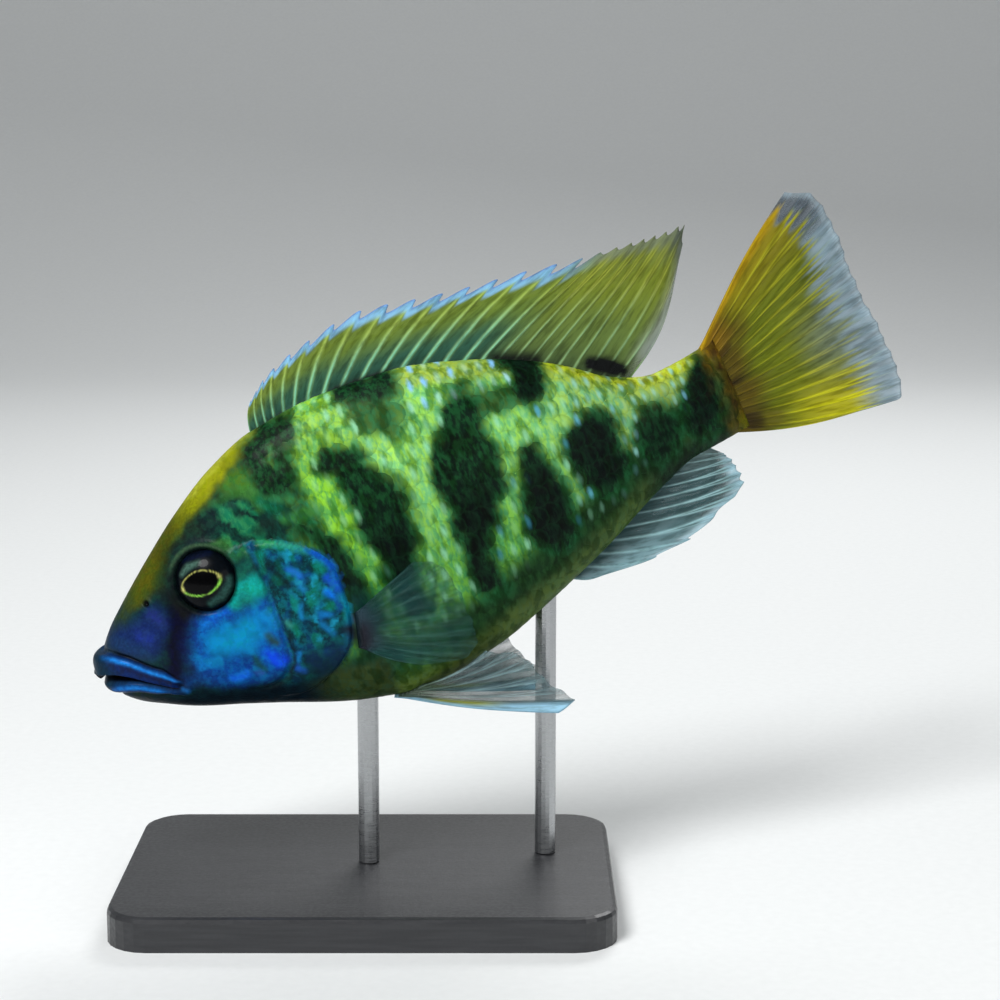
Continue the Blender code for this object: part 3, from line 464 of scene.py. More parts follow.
def gill_cover(coat, x, z):
    """Lays the mottled gill cover with its bright rim, and the patch where the breast fin starts.

    The rim is its own green and blue with a painted highlight on the raised edge. Painted shade fills the
    groove at the cheek's edge, and a painted shadow lies behind the cover and under the breast fin's root.
    """
    gill = depth_inside(x, z, GILL) / MM
    cheek = depth_inside(x, z, CHEEK) / MM
    cover = ease(gill, -0.5, 0.3) * ease(cheek, 0.4, -0.7) * ease_mm(x, 38, 44)
    coat.lay(cover, "#06363E", "#085A62")
    coat.lay(cover * ease(mottle(x, z * 0.7, 1.5 * MM, 9), 0.5, 0.75) * (0.3 + 0.45 * ease_mm(x, 50, 56)),
             "#0A4E98", "#0E609C")
    coat.lay(cover * ease(mottle(x, z * 0.6, 1.9 * MM, 10), 0.52, 0.76) * 0.8, "#087058", "#0A8070")
    coat.lay(cover * ease(mottle(x, z * 0.8, 1.1 * MM, 14), 0.66, 0.86) * ease_mm(x, 48, 53) * 0.8,
             "#1C9CC0", "#148CB4")
    coat.lay(cover * ease(mottle(x, z * 0.8, 1.6 * MM, 15), 0.6, 0.8) * 0.7, "#041C24", "#062830")
    coat.lay(cover * band(x, z, ((47.4, 9.5, 1.4), (49.4, 5, 1.2)), 1.4) * 0.85, "#06181C", "#08242A")
    dab(coat, x, z, (
        (0.7, 0.9, "#1C70D0", "#1464B8", (51.4, 7.6, 0.6), (52.8, 5.6, 0.7)),
        (0.7, 0.9, "#1A84BC", "#1674B0", (52.2, 3, 0.5), (52.8, 2, 0.5)),
        (0.7, 0.9, "#1284C2", "#1276B0", (50.8, -1, 0.4), (50, -3.8, 0.5)),
        (0.7, 0.9, "#0A78F0", "#0E6CE0", (57.2, -0.4, 0.9), (57.8, -1.6, 0.8)),
        (0.7, 0.9, "#0F4EC0", "#1256B4", (58.4, 3, 1.2), (59.6, 1.4, 1.0)),
        (0.7, 0.9, "#1078C8", "#106CB4", (54.6, -4.6, 0.8), (56, -5.2, 0.6)),
        (0.7, 0.9, "#127AB8", "#106CA4", (53.8, -7, 0.6), (55.4, -9.6, 0.5)),
        (0.7, 0.9, "#1482CC", "#1472BC", (45.6, -11.4, 0.7), (45.8, -12.8, 0.6)),
        (0.7, 0.9, "#1E5CC8", "#1A54B4", (45, -14.6, 0.9), (45.8, -15.2, 0.8)),
        (0.7, 0.9, "#38988C", "#2C8480", (46.4, -3.4, 0.3), (46.8, -4.8, 0.4))), cover)
    coat.lay(cover * ease_mm(z, -7.5, -14) * ease_mm(x, 46, 49) * 0.8, "#0D2A50", "#0F2440")
    coat.lay(cover * ease_mm(z, -13, -18) * 0.85, "#0A2430", "#0C2834")
    # the rim's own green and blue, brightened as a painted highlight along the raised edge
    rim = cover * ease(gill, 2.2, 0.5)
    coat.lay(rim * ease_mm(x, 45, 47) * ease_mm(x, 52, 50) * ease_mm(z, 8, 11), "#2E9A5A", "#2A8A66")
    coat.lay(rim * ease_mm(x, 50, 52.5) * ease_mm(x, 57.5, 55.5) * ease_mm(z, 6, 9), "#2A9A84", "#1C8088")
    coat.lay(rim * ease_mm(x, 55, 57.5) * ease_mm(z, -4, 0), "#1058C0", "#1268B4")
    coat.lay(rim * ease_mm(x, 56, 59) * ease_mm(z, -1, -4) * ease_mm(z, -9, -7), "#10A0C0", "#128CB4")
    coat.lay(rim * ease_mm(z, -6, -9) * ease_mm(z, -15, -11) * ease_mm(x, 50, 54), "#146A94", "#125E86")
    edge = bell(cheek, -0.1, 0.45) * ease_mm(x, 38, 44)
    coat.lay(edge * 0.6 * ease_mm(z, 6, 2), "#1264B4", "#14789C")
    # painted shade in the groove along the cheek's edge
    groove = bell(cheek, -1.1, 0.6) * ease_mm(x, 40, 44) * ease_mm(z, -2, -8)
    coat.lay(groove * 0.8, "#06141E", "#081C28")
    outside = ease(gill, 0.4, -0.4)
    # painted shadow behind the cover's free edge and under the breast fin's root
    coat.lay(outside * band(x, z, ((62.5, -5, 2.6), (62.5, -17, 2.8), (67, -21, 2.4)), 2.4)
             * ease(cheek, 0, -8) * 0.95,
             "#0F3430", "#123E34")
    coat.lay(outside * band(x, z, ((60.4, -8.6, 1.2), (62.4, -11, 1.2), (63, -16, 1.5)), 0.8),
             "#384452", "#303E4C")
    coat.lay(band(x, z, ((58.6, -10, 0.8), (60, -15, 1.5)), 0.8) * 0.9, "#1C1C24", "#201820")


def lips(coat, x, z):
    """Lays the lips, with painted highlights on their bright ridges.

    Painted shade lies under the upper roll, in the creases, at the mouth's corner and inside the open mouth.
    """
    above, upper, lower = lip_parts(x, z)
    fade = ease_mm(x, 19, 16.8)
    on_upper = ease(upper, 1.12, 0.98) * ease_mm(above, -0.2, 0.1) * fade
    coat.lay(on_upper, "#0E2A66", "#112450")
    coat.lay(on_upper * ease_mm(x, 7, 2), "#0E2E40", "#0E2A3C")
    # painted highlight: a bright band along the top of the upper lip's roll
    ridge = bell(upper, 0.79, 0.12) * ease_mm(x, 2.5, 7) * on_upper
    # painted shade on the lower face of the upper lip's roll
    coat.lay(bell(upper, 0.45, 0.12) * ease_mm(x, 4, 9) * on_upper * 0.8, "#0C1E50", "#101C48")
    coat.lay(ridge * 0.95, "#1E84E0", "#1874D0")
    # painted shade in the crease behind the upper lip
    coat.lay(bell(upper, 1.12, 0.12) * ease_mm(x, 5, 7.5) * ease_mm(x, 20, 18) * 0.9, "#050818", "#060A1C")
    on_lower = ease(lower, 1.15, 0.95) * ease(lower, -0.1, 0.1) * fade
    coat.lay(on_lower, "#0A2E5A", "#0A2848")
    coat.lay(on_lower * ease_mm(x, 4.4, 2), "#1C3A4A", "#183240")
    # painted highlight along the top of the lower lip's roll
    coat.lay(bell(lower, 0.42, 0.2) * ease_mm(x, 2.4, 4.6) * ease_mm(x, 16, 13) * 0.95,
             "#1A7CD8", "#166CC8")
    # painted shade: the dark inside of the open mouth
    slot = ease_mm(above, 0.1, -0.15) * ease_mm(above + mouth_gap(x), -0.15, 0.1)
    coat.lay(slot * ease_mm(x, 18, 16.5), "#1C100C", "#100A0A")
    corner = apart(x, z, *MOUTH_CORNER)
    # painted shade in the dip at the mouth's corner
    coat.lay(bell(corner, 0, 0.7), "#061026", "#061026")
    coat.lay(band(x, z, ((18.2, -10.8, 0.4), (19, -11.6, 0.6)), 0.6) * 0.9, "#1460A8", "#125498")


def markings(x, z, spot=None):
    """Two colours for each point, that a fine pattern later mixes, and its darkness.

    spot, a second place (along, up), is where the bars are read, so that a scale can be dark or light more
    or less as a whole.
    """
    wave, ripple = 2.2 * MM, 1.0 * MM
    bar_x, bar_z = (x, z) if spot is None else spot
    bar_x = bar_x + wave * (mottle(x, z, 2.6 * MM, 1) - 0.5) + wave * (mottle(x, z, 7 * MM, 2) - 0.5)
    bar_z = bar_z + wave * (mottle(x, z, 2.6 * MM, 3) - 0.5) + wave * (mottle(x, z, 7 * MM, 4) - 0.5)
    plain = x, z
    x = x + ripple * (mottle(x, z, 2.2 * MM, 5) - 0.5)
    z = z + ripple * (mottle(x, z, 2.2 * MM, 6) - 0.5)
    coat = Coat(x, "#96D45C", "#70BE74")
    dark = flank(coat, x, z, (bar_x, bar_z))
    stalk_end(coat, x, z)
    front = ease_mm(x, 56, 46) * np.maximum(ease_mm(back(x) - z, 2, 4), ease_mm(x, 32, 22))
    coat.lay(front * (1 - dark * ease_mm(x, 48, 51)), "#0C2630", "#0E3434")
    before = coat.shown
    nape(coat, x, z)
    kept = (dark * ease_mm(x, 48, 52))[..., None]
    coat.shown = [new * (1 - kept) + old * kept for new, old in zip(coat.shown, before)]
    face(coat, x, z)
    gill_cover(coat, x, z)
    jaw = patch(x, z, JAW, 1.8)
    coat.lay(jaw, "#081620", "#0A1E28")
    coat.lay(jaw * ease_mm(x, 43, 54), "#3A4A24", "#344C30")
    coat.lay(band(x, z, ((57.5, -18.5, 1.6), (61.5, -17.6, 2.2)), 1.6) * 0.85, "#17402C", "#1A4632")
    x, z = plain
    lips(coat, x, z)
    eye = apart(x, z, *EYE)
    behind_below = ease_mm(x - z, 23.9, 29.9)
    coat.lay(ease(eye, 8.8 - 0.9 * behind_below, 7.4 - 0.2 * behind_below) * 0.8, "#080E10", "#0C1614")
    # painted highlight: a pale arc along the top of the eye socket's raised rim
    coat.lay(bell(eye, 7.9, 0.35) * ease_mm(z, 14, 18) * 0.8, "#4A6A4A", "#3A5A40")
    nostril = apart(x, z, *NOSTRIL)
    # painted shade: black in the nostril's pit
    coat.lay(ease(nostril, 0.9, 0.5), "#05070A", "#05070A")
    return *coat.shown, dark


# Materials are built from one function that adds a node. Fish skin in life is a clear wet layer over
# pigment, so it has a soft gloss, and the painted cast of a museum model has the same under its varnish.
def add(tree, kind, inputs=None, **settings):
    """Adds one shader node: inputs maps a socket's name or number to a value or to a node's output."""
    made = tree.nodes.new("ShaderNode" + kind)
    for name, value in settings.items():
        setattr(made, name, value)
    for key, value in (inputs or {}).items():
        if isinstance(value, bpy.types.NodeSocket):
            tree.links.new(value, made.inputs[key])
        else:
            made.inputs[key].default_value = value
    return made


def colour(code):
    """sRGB hex colour as the four numbers a colour socket takes."""
    return (*linear(code), 1)


def new_material(name, **values):
    """Empty Principled material with some sockets set, and its node tree and shader."""
    made = bpy.data.materials.new(name)
    made.use_nodes = True
    shader = made.node_tree.nodes["Principled BSDF"]
    for key, value in values.items():
        shader.inputs[key.replace("_", " ")].default_value = value
    return made, made.node_tree, shader


def mixed(tree, factor, first, second, blend="MIX"):
    """Output of a colour mix."""
    node = add(tree, "Mix", {0: factor, 6: first, 7: second}, data_type="RGBA", blend_type=blend)
    return node.outputs[2]


def stepped(tree, value, low, high, bottom=0.0, top=1.0):
    """Output of a smooth step of a value from low to high."""
    node = add(tree, "MapRange", {0: value, 1: low, 2: high, 3: bottom, 4: top},
               interpolation_type="SMOOTHSTEP")
    return node.outputs[0]


def given(tree, name, output="Color"):
    """Output of the value that a mesh gives its points under a name."""
    return add(tree, "Attribute", attribute_name=name).outputs[output]


def noise(tree, spot, scale, detail, roughness=0.5):
    """Output of a fractal noise."""
    inputs = {"Vector": spot, "Scale": scale, "Detail": detail, "Roughness": roughness}
    return add(tree, "TexNoise", inputs).outputs["Fac"]


def maths(tree, operation, *values, **settings):
    """Output of a sum or product of values."""
    return add(tree, "Math", dict(enumerate(values)), operation=operation, **settings).outputs[0]


def vector(tree, *parts):
    """Output of a vector made from its parts."""
    return add(tree, "CombineXYZ", dict(enumerate(parts))).outputs[0]


def vector_maths(tree, operation, *values, output=0):
    """Output of a vector's product or length."""
    return add(tree, "VectorMath", dict(enumerate(values)), operation=operation).outputs[output]


def deepened(tree, base, code):
    """Output of a colour multiplied by another."""
    return mixed(tree, 1.0, base, colour(code), "MULTIPLY")


def bump(tree, height, strength, distance):
    """Output of a relief from a height, with its strength and its depth in metres."""
    return add(tree, "Bump", {"Height": height, "Strength": strength, "Distance": distance}).outputs[0]


def connect(tree, shader, **outputs):
    """Joins outputs to the shader's sockets of those names."""
    for name, output in outputs.items():
        tree.links.new(output, shader.inputs[name.replace("_", " ")])


skin_cast, tree, shader = new_material("varnished_fish_skin", Roughness=0.4, Coat_Weight=0.04,
                                       Coat_Roughness=0.2, Specular_IOR_Level=0.05)
lay_out = given(tree, "layout", "Vector")
paint = given(tree, "paint")
fleck = given(tree, "fleck")
grain = noise(tree, lay_out, 520.0, 3.0, 0.6)
pores = noise(tree, lay_out, 1500.0, 2.0)
base = mixed(tree, stepped(tree, grain, 0.42, 0.6), paint, fleck)
base = mixed(tree, stepped(tree, pores, 0.3, 0.7, 0.0, 0.35), base, deepened(tree, base, "#8A8A8A"))
connect(tree, shader, Base_Color=base, Roughness=stepped(tree, grain, 0.3, 0.7, 0.34, 0.5),
        Normal=bump(tree, maths(tree, "ADD", grain, pores), 0.25, 0.0004))


# Meshes: each piece is one mesh of placed points that rides the model. Most are grids of points, closed
# round their columns, by fans at their ends or by a rim, so that every piece is a closed shell.
def in_scene(name, content):
    """Object of a mesh, lamp or camera, linked to the scene."""
    made = bpy.data.objects.new(name, content)
    bpy.context.scene.collection.objects.link(made)
    return made


def build(name, points, faces, material, **attributes):
    """Mesh object from placed points and lists of faces, with a value for each point in every attribute."""
    mesh = bpy.data.meshes.new(name)
    mesh.from_pydata(np.reshape(points, (-1, 3)).tolist(), [],
                     [face for group in faces for face in group.tolist()])
    for key, values in attributes.items():
        values = np.asarray(values, np.float32)
        kind = "FLOAT_VECTOR" if values.shape[-1] == 3 and values.ndim > 1 else "FLOAT"
        layer = mesh.attributes.new(key, kind, "POINT")
        layer.data.foreach_set("vector" if kind == "FLOAT_VECTOR" else "value", values.ravel())
    shell = bmesh.new()
    shell.from_mesh(mesh)
    bmesh.ops.recalc_face_normals(shell, faces=shell.faces)
    shell.to_mesh(mesh)
    shell.free()
    mesh.materials.append(material)
    mesh.shade_smooth()
    piece = in_scene(name, mesh)
    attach(piece, "root")
    return piece


def grid_faces(rows, columns, closed=False, start=0):
    """Four-cornered faces of a grid of points, joined round its columns if closed."""
    i, j = np.meshgrid(np.arange(rows - 1), np.arange(columns if closed else columns - 1), indexing="ij")
    k = (j + 1) % columns
    quads = np.stack([i * columns + j, i * columns + k, (i + 1) * columns + k, (i + 1) * columns + j], -1)
    return quads.reshape(-1, 4) + start


def fan_faces(centre, ring):
    """Three-cornered faces from one point to a closed ring."""
    return np.stack([np.full(len(ring), centre), ring, np.roll(ring, -1)], -1)


def closed_faces(rows, columns):
    """Faces of a grid joined round its columns, closed by a fan to a pole at each end, the poles last."""
    count = rows * columns
    return [grid_faces(rows, columns, True), fan_faces(count, np.arange(columns)),
            fan_faces(count + 1, np.arange(count - columns, count))]


# Skin: one closed surface from the lips to the base of the tail. Its sections are spaced more closely
# over the head, and its lines along the body crowd together beside the mouth.
FRONT_DOME = 0.5 * MM
SIDE_LINES = 150
MOUTH_SHARE = 0.6


def skin_grid():
    """Sections of the skin before its relief, as (section, line, xyz), with a domed front.

    The front dome shrinks the first section towards its middle as a quarter ellipse. The angle of each
    line is its share of the way to the mouth's angle, which lies at MOUTH_SHARE of the lines.
    """
    ahead = np.linspace(0.97, 0.06, 12)
    stations = np.concatenate([np.arange(0, 20, 0.22), np.arange(20, 64, 0.35), np.arange(64, 160, 1.5),
                               np.arange(160, 168, 0.7)]) * MM
    along = np.concatenate([0 * ahead, stations])[:, None]
    shrink = np.concatenate([np.sqrt(1 - ahead ** 2), np.ones(len(stations))])[:, None]
    push = np.concatenate([-FRONT_DOME * ahead, 0 * stations])[:, None]
    toward = section_angle(along, mouth_line(along) - mouth_gap(along) / 2)
    calm = ease_mm(along, 16, 26)
    toward = toward * (1 - calm) + MOUTH_SHARE * np.pi * calm
    share = np.linspace(0, 1, SIDE_LINES + 1)[None, :]
    angle = np.where(share < MOUTH_SHARE, toward * share / MOUTH_SHARE,
                     toward + (np.pi - toward) * (share - MOUTH_SHARE) / (1 - MOUTH_SHARE))
    sides = []
    for side, lines in ((-1, slice(None)), (1, slice(SIDE_LINES - 1, 0, -1))):
        flat = section_point(along, angle[:, lines], side)
        middle = np.stack(np.broadcast_arrays(along, 0 * along, widest(along)), -1)
        flat = middle + (flat - middle) * shrink[..., None]
        flat[..., 0] += push
        sides.append(flat)
    return np.concatenate(sides, 1)


def grid_normals(grid):
    """Unit normals of a grid closed round its columns, pointing out of the body."""
    along = np.gradient(grid, axis=0)
    around = np.roll(grid, -1, 1) - np.roll(grid, 1, 1)
    normal = np.cross(around, along)
    return normal / np.linalg.norm(normal, axis=-1, keepdims=True)


flat = skin_grid()
rows, columns = flat.shape[:2]
raised = flat + grid_normals(flat) * relief(flat[..., 0], flat[..., 2])[..., None]
poles = np.array([[-FRONT_DOME, 0, -2.4 * MM], [168 * MM, 0, 2.6 * MM]])
poles[0, 0] = raised[0, :, 0].mean()
everywhere = np.concatenate([flat.reshape(-1, 3), poles])
skin_paint, skin_fleck, _ = markings(everywhere[:, 0], everywhere[:, 2])
skin = build("skin", place(np.concatenate([raised.reshape(-1, 3), poles])), closed_faces(rows, columns),
             skin_cast, layout=everywhere, paint=skin_paint, fleck=skin_fleck)
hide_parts("head", "lower_jaw", "gill_cover_left", "gill_cover_right", "trunk", "tail_stalk")

# Scales: thin overlapping plates with a rounded free rear edge, 34 along the side and 17 rows to a side,
# the rows half a scale out of step. Each is dished over the skin and lifts at its rear edge.
scale_cast, tree, shader = new_material("varnished_fish_scale", Roughness=0.45, Coat_Weight=0.03,
                                        Coat_Roughness=0.15, Specular_IOR_Level=0.05)
lay_out = given(tree, "layout", "Vector")
lie = add(tree, "SeparateXYZ", {0: given(tree, "lie", "Vector")})
paint = given(tree, "paint")
fleck = given(tree, "fleck")
shine = given(tree, "dash", "Fac")
dusk = given(tree, "dusk", "Fac")
streaks = vector_maths(tree, "MULTIPLY", lay_out, (1.3, 1.3, 0.5))
grain = noise(tree, streaks, 700.0, 3.0, 0.6)
broad = noise(tree, streaks, 330.0, 2.0, 0.5)
base = mixed(tree, stepped(tree, grain, 0.4, 0.62), paint, fleck)
deep = deepened(tree, base, "#96AC80")
share = maths(tree, "MULTIPLY", stepped(tree, broad, 0.46, 0.62, 0.0, 0.8),
              stepped(tree, lie.outputs[2], 0.02, 0.2, 0.3, 1.0))
base = mixed(tree, share, base, deep)
reach = vector_maths(tree, "LENGTH", vector(tree, lie.outputs[0], lie.outputs[1]), output="Value")
rim = stepped(tree, reach, 0.7, 1.0)
rim_colour = mixed(tree, dusk, deepened(tree, base, "#7C9060"), colour("#123A20"))
base = mixed(tree, maths(tree, "MULTIPLY", rim, lie.outputs[2]), base, rim_colour)
# painted glint: a ragged pale dash of reflected light on each scale, in the glint colour, as strong as its
# dash value
off = vector(tree, stepped(tree, lie.outputs[0], -0.4, 1.2, -3.6, 3.6), lie.outputs[1])
off = vector_maths(tree, "LENGTH", vector_maths(tree, "MULTIPLY", off, (0.8, 2.0, 0.0)), output="Value")
ragged = maths(tree, "MULTIPLY_ADD", grain, 1.9, off)
dash = maths(tree, "MULTIPLY", stepped(tree, ragged, 2.5, 1.1), shine)
base = mixed(tree, dash, base, given(tree, "glint"))
ridges = add(tree, "TexWave", {"Vector": vector(tree, reach), "Scale": 4.0, "Distortion": 0.6},
             bands_direction="X").outputs["Fac"]
connect(tree, shader, Base_Color=base, Normal=bump(tree, maths(tree, "ADD", ridges, grain), 0.18, 0.0003))

spacing = mm_curve((20, 1.9), (36, 2.3), (50, 2.8), (62, 3.2), (100, 3.35), (140, 3.0), (168, 2.4))
row_height = mm_curve((20, 2.8), (36, 3.3), (50, 4.1), (62, 4.8), (100, 4.9), (140, 3.7), (168, 3.0))
lateral = mm_curve((20, 8), (44, 10), (62, 9.0), (98, 6.5), (124, 4.5), (168, 2.8))
ARC_ALONG = np.linspace(16, 168, 153) * MM
ARC_REACH = np.linspace(-75, 75, 301) * MM


def arc_table():
    """Section angle for a distance around the skin from the lateral line, down positive."""
    angle = np.linspace(-0.7, np.pi + 0.7, 500)
    points = section_point(ARC_ALONG[:, None], angle[None, :], 1)
    step = np.linalg.norm(np.diff(points, axis=1), axis=-1)
    arc = np.concatenate([np.zeros((len(ARC_ALONG), 1)), np.cumsum(step, 1)], 1)
    zero = section_angle(ARC_ALONG, lateral(ARC_ALONG))
    return np.array([np.interp(ARC_REACH, a - np.interp(z, angle, a), angle) for a, z in zip(arc, zero)])


ARC_ANGLE = arc_table()


def angle_at(along, around):
    """Section angle at a place along and a distance around, read between the table's entries."""
    u = np.clip((along - ARC_ALONG[0]) / (ARC_ALONG[1] - ARC_ALONG[0]), 0, len(ARC_ALONG) - 1.001)
    v = np.clip((around - ARC_REACH[0]) / (ARC_REACH[1] - ARC_REACH[0]), 0, len(ARC_REACH) - 1.001)
    i, j = u.astype(int), v.astype(int)
    s, t = u - i, v - j
    near = ARC_ANGLE[i, j] * (1 - t) + ARC_ANGLE[i, j + 1] * t
    far = ARC_ANGLE[i + 1, j] * (1 - t) + ARC_ANGLE[i + 1, j + 1] * t
    return near * (1 - s) + far * s


def scale_places(start, end, fine, seed):
    """Centres of scales on one side: steps of spacing along, rows of row_height around, both times fine."""
    table = np.linspace(start, end, 800)
    steps = np.concatenate([[0], np.cumsum(np.diff(table) / (spacing(table[:-1]) * fine))])
    number = np.arange(0, steps[-1], 0.5)
    row = np.arange(-26, 27)
    number, row = np.meshgrid(number, row, indexing="ij")
    keep = (np.round(number * 2).astype(int) + row) % 2 == 0
    number, row = number[keep], row[keep]
    along = np.interp(number, steps, table)
    around = row * row_height(along) * fine
    draw = np.random.default_rng(seed)
    along = along + draw.normal(0, 0.06, along.shape) * MM
    around = around + draw.normal(0, 0.08, along.shape) * MM
    return along, around


RINGS = np.array([0.45, 0.78, 1.0])
SPOKES = 14
# half a scale's length and height, in steps along and in rows, and how small the head's scales are
HALF_LONG, HALF_HIGH, HEAD_FINE = 1.02, 0.64, 0.62


def glints(x, z, dark, chance):
    """Strength and colour of the painted glint, a pale dash of reflected light on a scale, from its centre.

    It is pale blue in the rows under the back, mint on the flank, blue beside a bar, grey-blue on the stalk.
    """
    top = ease_mm(back(x) - z, 12, 7) * ease_mm(x, 80, 90) * ease_mm(x, 122, 114)
    strength = (0.25 + 0.75 * ease(chance, 0.1, 0.85)) * (0.7 + 0.25 * top) * ease(dark, 0.6, 0.25)
    strength *= ease_mm(z - belly(x) + 6 * MM * ease_mm(x, 100, 124), 14, 20)
    strength *= ease_mm(x, 58, 66) * ease_mm(x, 163, 158)
    coat = Coat(x, "#94DAB0")
    coat.lay(ease_mm(x, 74, 64) * 0.6, "#8CD08C")
    coat.lay(ease(dark, 0.03, 0.2) * ease_mm(x, 66, 76), "#4FAAD0")
    coat.lay(ease_mm(x, 118, 128) * 0.6, "#86BECA")
    coat.lay(top, "#B4EAEA")
    coat.lay(top * ease(chance, 0.5, 0.7), "#84C2F2")
    return strength, coat.shown[0]


def scale_meshes(name, side, along, around, fine, lift, rim):
    """Joined scales on one side: each a dished disc whose rim closes to a point under its middle.

    A point of the disc at (p, q), p to the rear, stands lift * (0.55 + 0.7 p) - dish * (p^2 + q^2) over the
    skin, half as much on the nape.
    """
    turn = np.linspace(0, 2 * np.pi, SPOKES, endpoint=False)
    p = np.concatenate([[0], (RINGS[:, None] * np.cos(turn)).ravel(), [0]])
    q = np.concatenate([[0], (RINGS[:, None] * np.sin(turn)).ravel(), [0]])
    half_long, half_high = spacing(along) * fine * HALF_LONG, row_height(along) * fine * HALF_HIGH
    x = along[:, None] + half_long[:, None] * p
    reach = around[:, None] + half_high[:, None] * q * (1 - 0.1 * p)
    angle = angle_at(x, reach)
    flat = section_point(x, angle, side)
    on_body = fine == 1
    dish = 0.12 * MM if on_body else 0.02 * MM
    rise = lift * (0.55 + 0.7 * p) - dish * (p * p + q * q)
    rise = rise * (0.5 + 0.5 * ease_mm(along, 44, 64))[:, None]
    rise[:, -1] = -0.3 * MM  # the point under the middle
    stand = relief(flat[..., 0], flat[..., 2], not on_body) + rise
    points = flat + outward(x, angle, side) * stand[..., None]
    size = len(p)
    ring = np.arange(1, SPOKES + 1)
    top = [fan_faces(0, ring)]
    for k in range(len(RINGS) - 1):
        inner, outer = ring + k * SPOKES, ring + (k + 1) * SPOKES
        top.append(np.stack([inner, outer, np.roll(outer, -1), np.roll(inner, -1)], -1))
    top.append(fan_faces(size - 1, (ring + (len(RINGS) - 1) * SPOKES)[::-1]))
    shift = (np.arange(len(along)) * size)[:, None, None]
    faces = [(group[None] + shift).reshape(-1, group.shape[1]) for group in top]
    centre = section_point(along, angle_at(along, around), side)
    draw = np.random.default_rng(71 + side)
    spot = [centre[:, k, None] * 0.2 + flat[..., k] * 0.8 for k in (0, 2)]
    paint, fleck, dark = markings(flat[..., 0], flat[..., 2], spot)
    tone = (1 + (0.22 if on_body else 0.04) * (draw.random(len(along)) - 0.5))[:, None, None]
    shine, glint = glints(centre[:, 0], centre[:, 2], dark[:, 0], draw.random(len(along)))
    # whole carries what each scale, or each point of the disc, has to all points
    whole = np.ones(x.shape)
    lie = np.stack([whole * p, whole * q, whole * rim * ease_mm(along, 40, 66)[:, None]], -1)
    # the finish draws its noise out upwards on the body; on the head it is drawn round
    grain_spot = flat * (1, 1, 1 if on_body else 2.6)
    piece = build(name, place(points), faces, scale_cast, layout=grain_spot, lie=lie, paint=paint * tone,
                  fleck=fleck * tone, dusk=dark, dash=whole * shine[:, None],
                  glint=whole[..., None] * glint[:, None])
    # the bake map: each scale is a small patch at its place on the unrolled sides
    unwrap = np.stack([0.03 + 0.94 * along / (168 * MM),
                       0.5 + side * (0.02 + 0.45 * angle_at(along, around) / np.pi)], -1)
    patch_uv = unwrap[:, None, :] + 0.0015 * np.stack([p, q], -1)[None]
    layer = piece.data.uv_layers.new(name="OFBake")
    corner = np.empty(len(piece.data.loops), np.int32)
    piece.data.loops.foreach_get("vertex_index", corner)
    layer.data.foreach_set("uv", patch_uv.reshape(-1, 2)[corner].astype(np.float32).ravel())
    # the free rim is a sharp edge
    ends = np.empty(len(piece.data.edges) * 2, np.int32)
    piece.data.edges.foreach_get("vertices", ends)
    ends = ends.reshape(-1, 2) % size
    outer = (ends > (len(RINGS) - 1) * SPOKES) & (ends < size - 1)
    piece.data.attributes.new("sharp_edge", "BOOLEAN", "EDGE").data.foreach_set("value", outer.all(1))


def scale_centres(start, end, fine, seed, side):
    """Scales' places in millimetres from start to end, with each centre's angle, height and distances.

    The distances are in millimetres, into the gill cover, into the cheek and from the eye's middle.
    """
    along, around = scale_places(start * MM, end * MM, fine, seed + side)
    angle = angle_at(along, around)
    up = section_point(along, angle, side)[:, 2]
    gill, cheek = (depth_inside(along, up, outline) / MM for outline in (GILL, CHEEK))
    return along, around, angle, up, gill, cheek, apart(along, up, *EYE)


for side, word in SIDES:
    along, around, angle, up, gill, cheek, eye = scale_centres(36, 167, 1.0, 11, side)
    clear = (angle > -0.01) & (angle < np.pi + 0.01) & (gill < np.where(along < 47 * MM, -1.6, 0.6))
    clear &= (eye > 11) & (along > (40 - 0.25 * (up / MM - 20)) * MM)
    clear &= along < (163.4 + 2.4 * np.random.default_rng(5).random(len(along))) * MM
    scale_meshes("body_scales_" + word, side, along[clear], around[clear], 1.0, 0.16 * MM, 0.24)

    along, around, angle, up, gill, cheek, eye = scale_centres(24, 60, HEAD_FINE, 21, side)
    on_cover = (gill > 2.4) & (cheek < -1.8) & (along > 44 * MM)
    on_cheek = (cheek > 2.0) & (along > 27 * MM) & (eye > 11)
    clear = (angle > 0) & (angle < np.pi) & (on_cover | on_cheek)
    scale_meshes("head_scales_" + word, side, along[clear], around[clear], HEAD_FINE, 0.05 * MM, 0.03)

# Eyes: a dark glassy ball with a black pupil, drawn out towards the snout, inside a bright thin ring, and a
# dusky iris with two pale patches that are painted reflections. The ball is flattened and lies in the socket
# as in the fish.
eye_glass, tree, shader = new_material("clear_coated_eye", Roughness=0.3, Coat_Weight=0.07,
                                       Coat_Roughness=0.03, Specular_IOR_Level=0.05)
paint = given(tree, "paint")
lay_out = given(tree, "layout", "Vector")
grain = noise(tree, lay_out, 1400.0, 3.0)
base = mixed(tree, stepped(tree, grain, 0.35, 0.7, 0.0, 0.5), paint, deepened(tree, paint, "#707070"))
connect(tree, shader, Base_Color=base)
EYE_RADIUS, EYE_DEPTH, EYE_PROUD = 7.4 * MM, 5.0 * MM, 2.2 * MM
EYE_RINGS, EYE_SPOKES = 64, 120


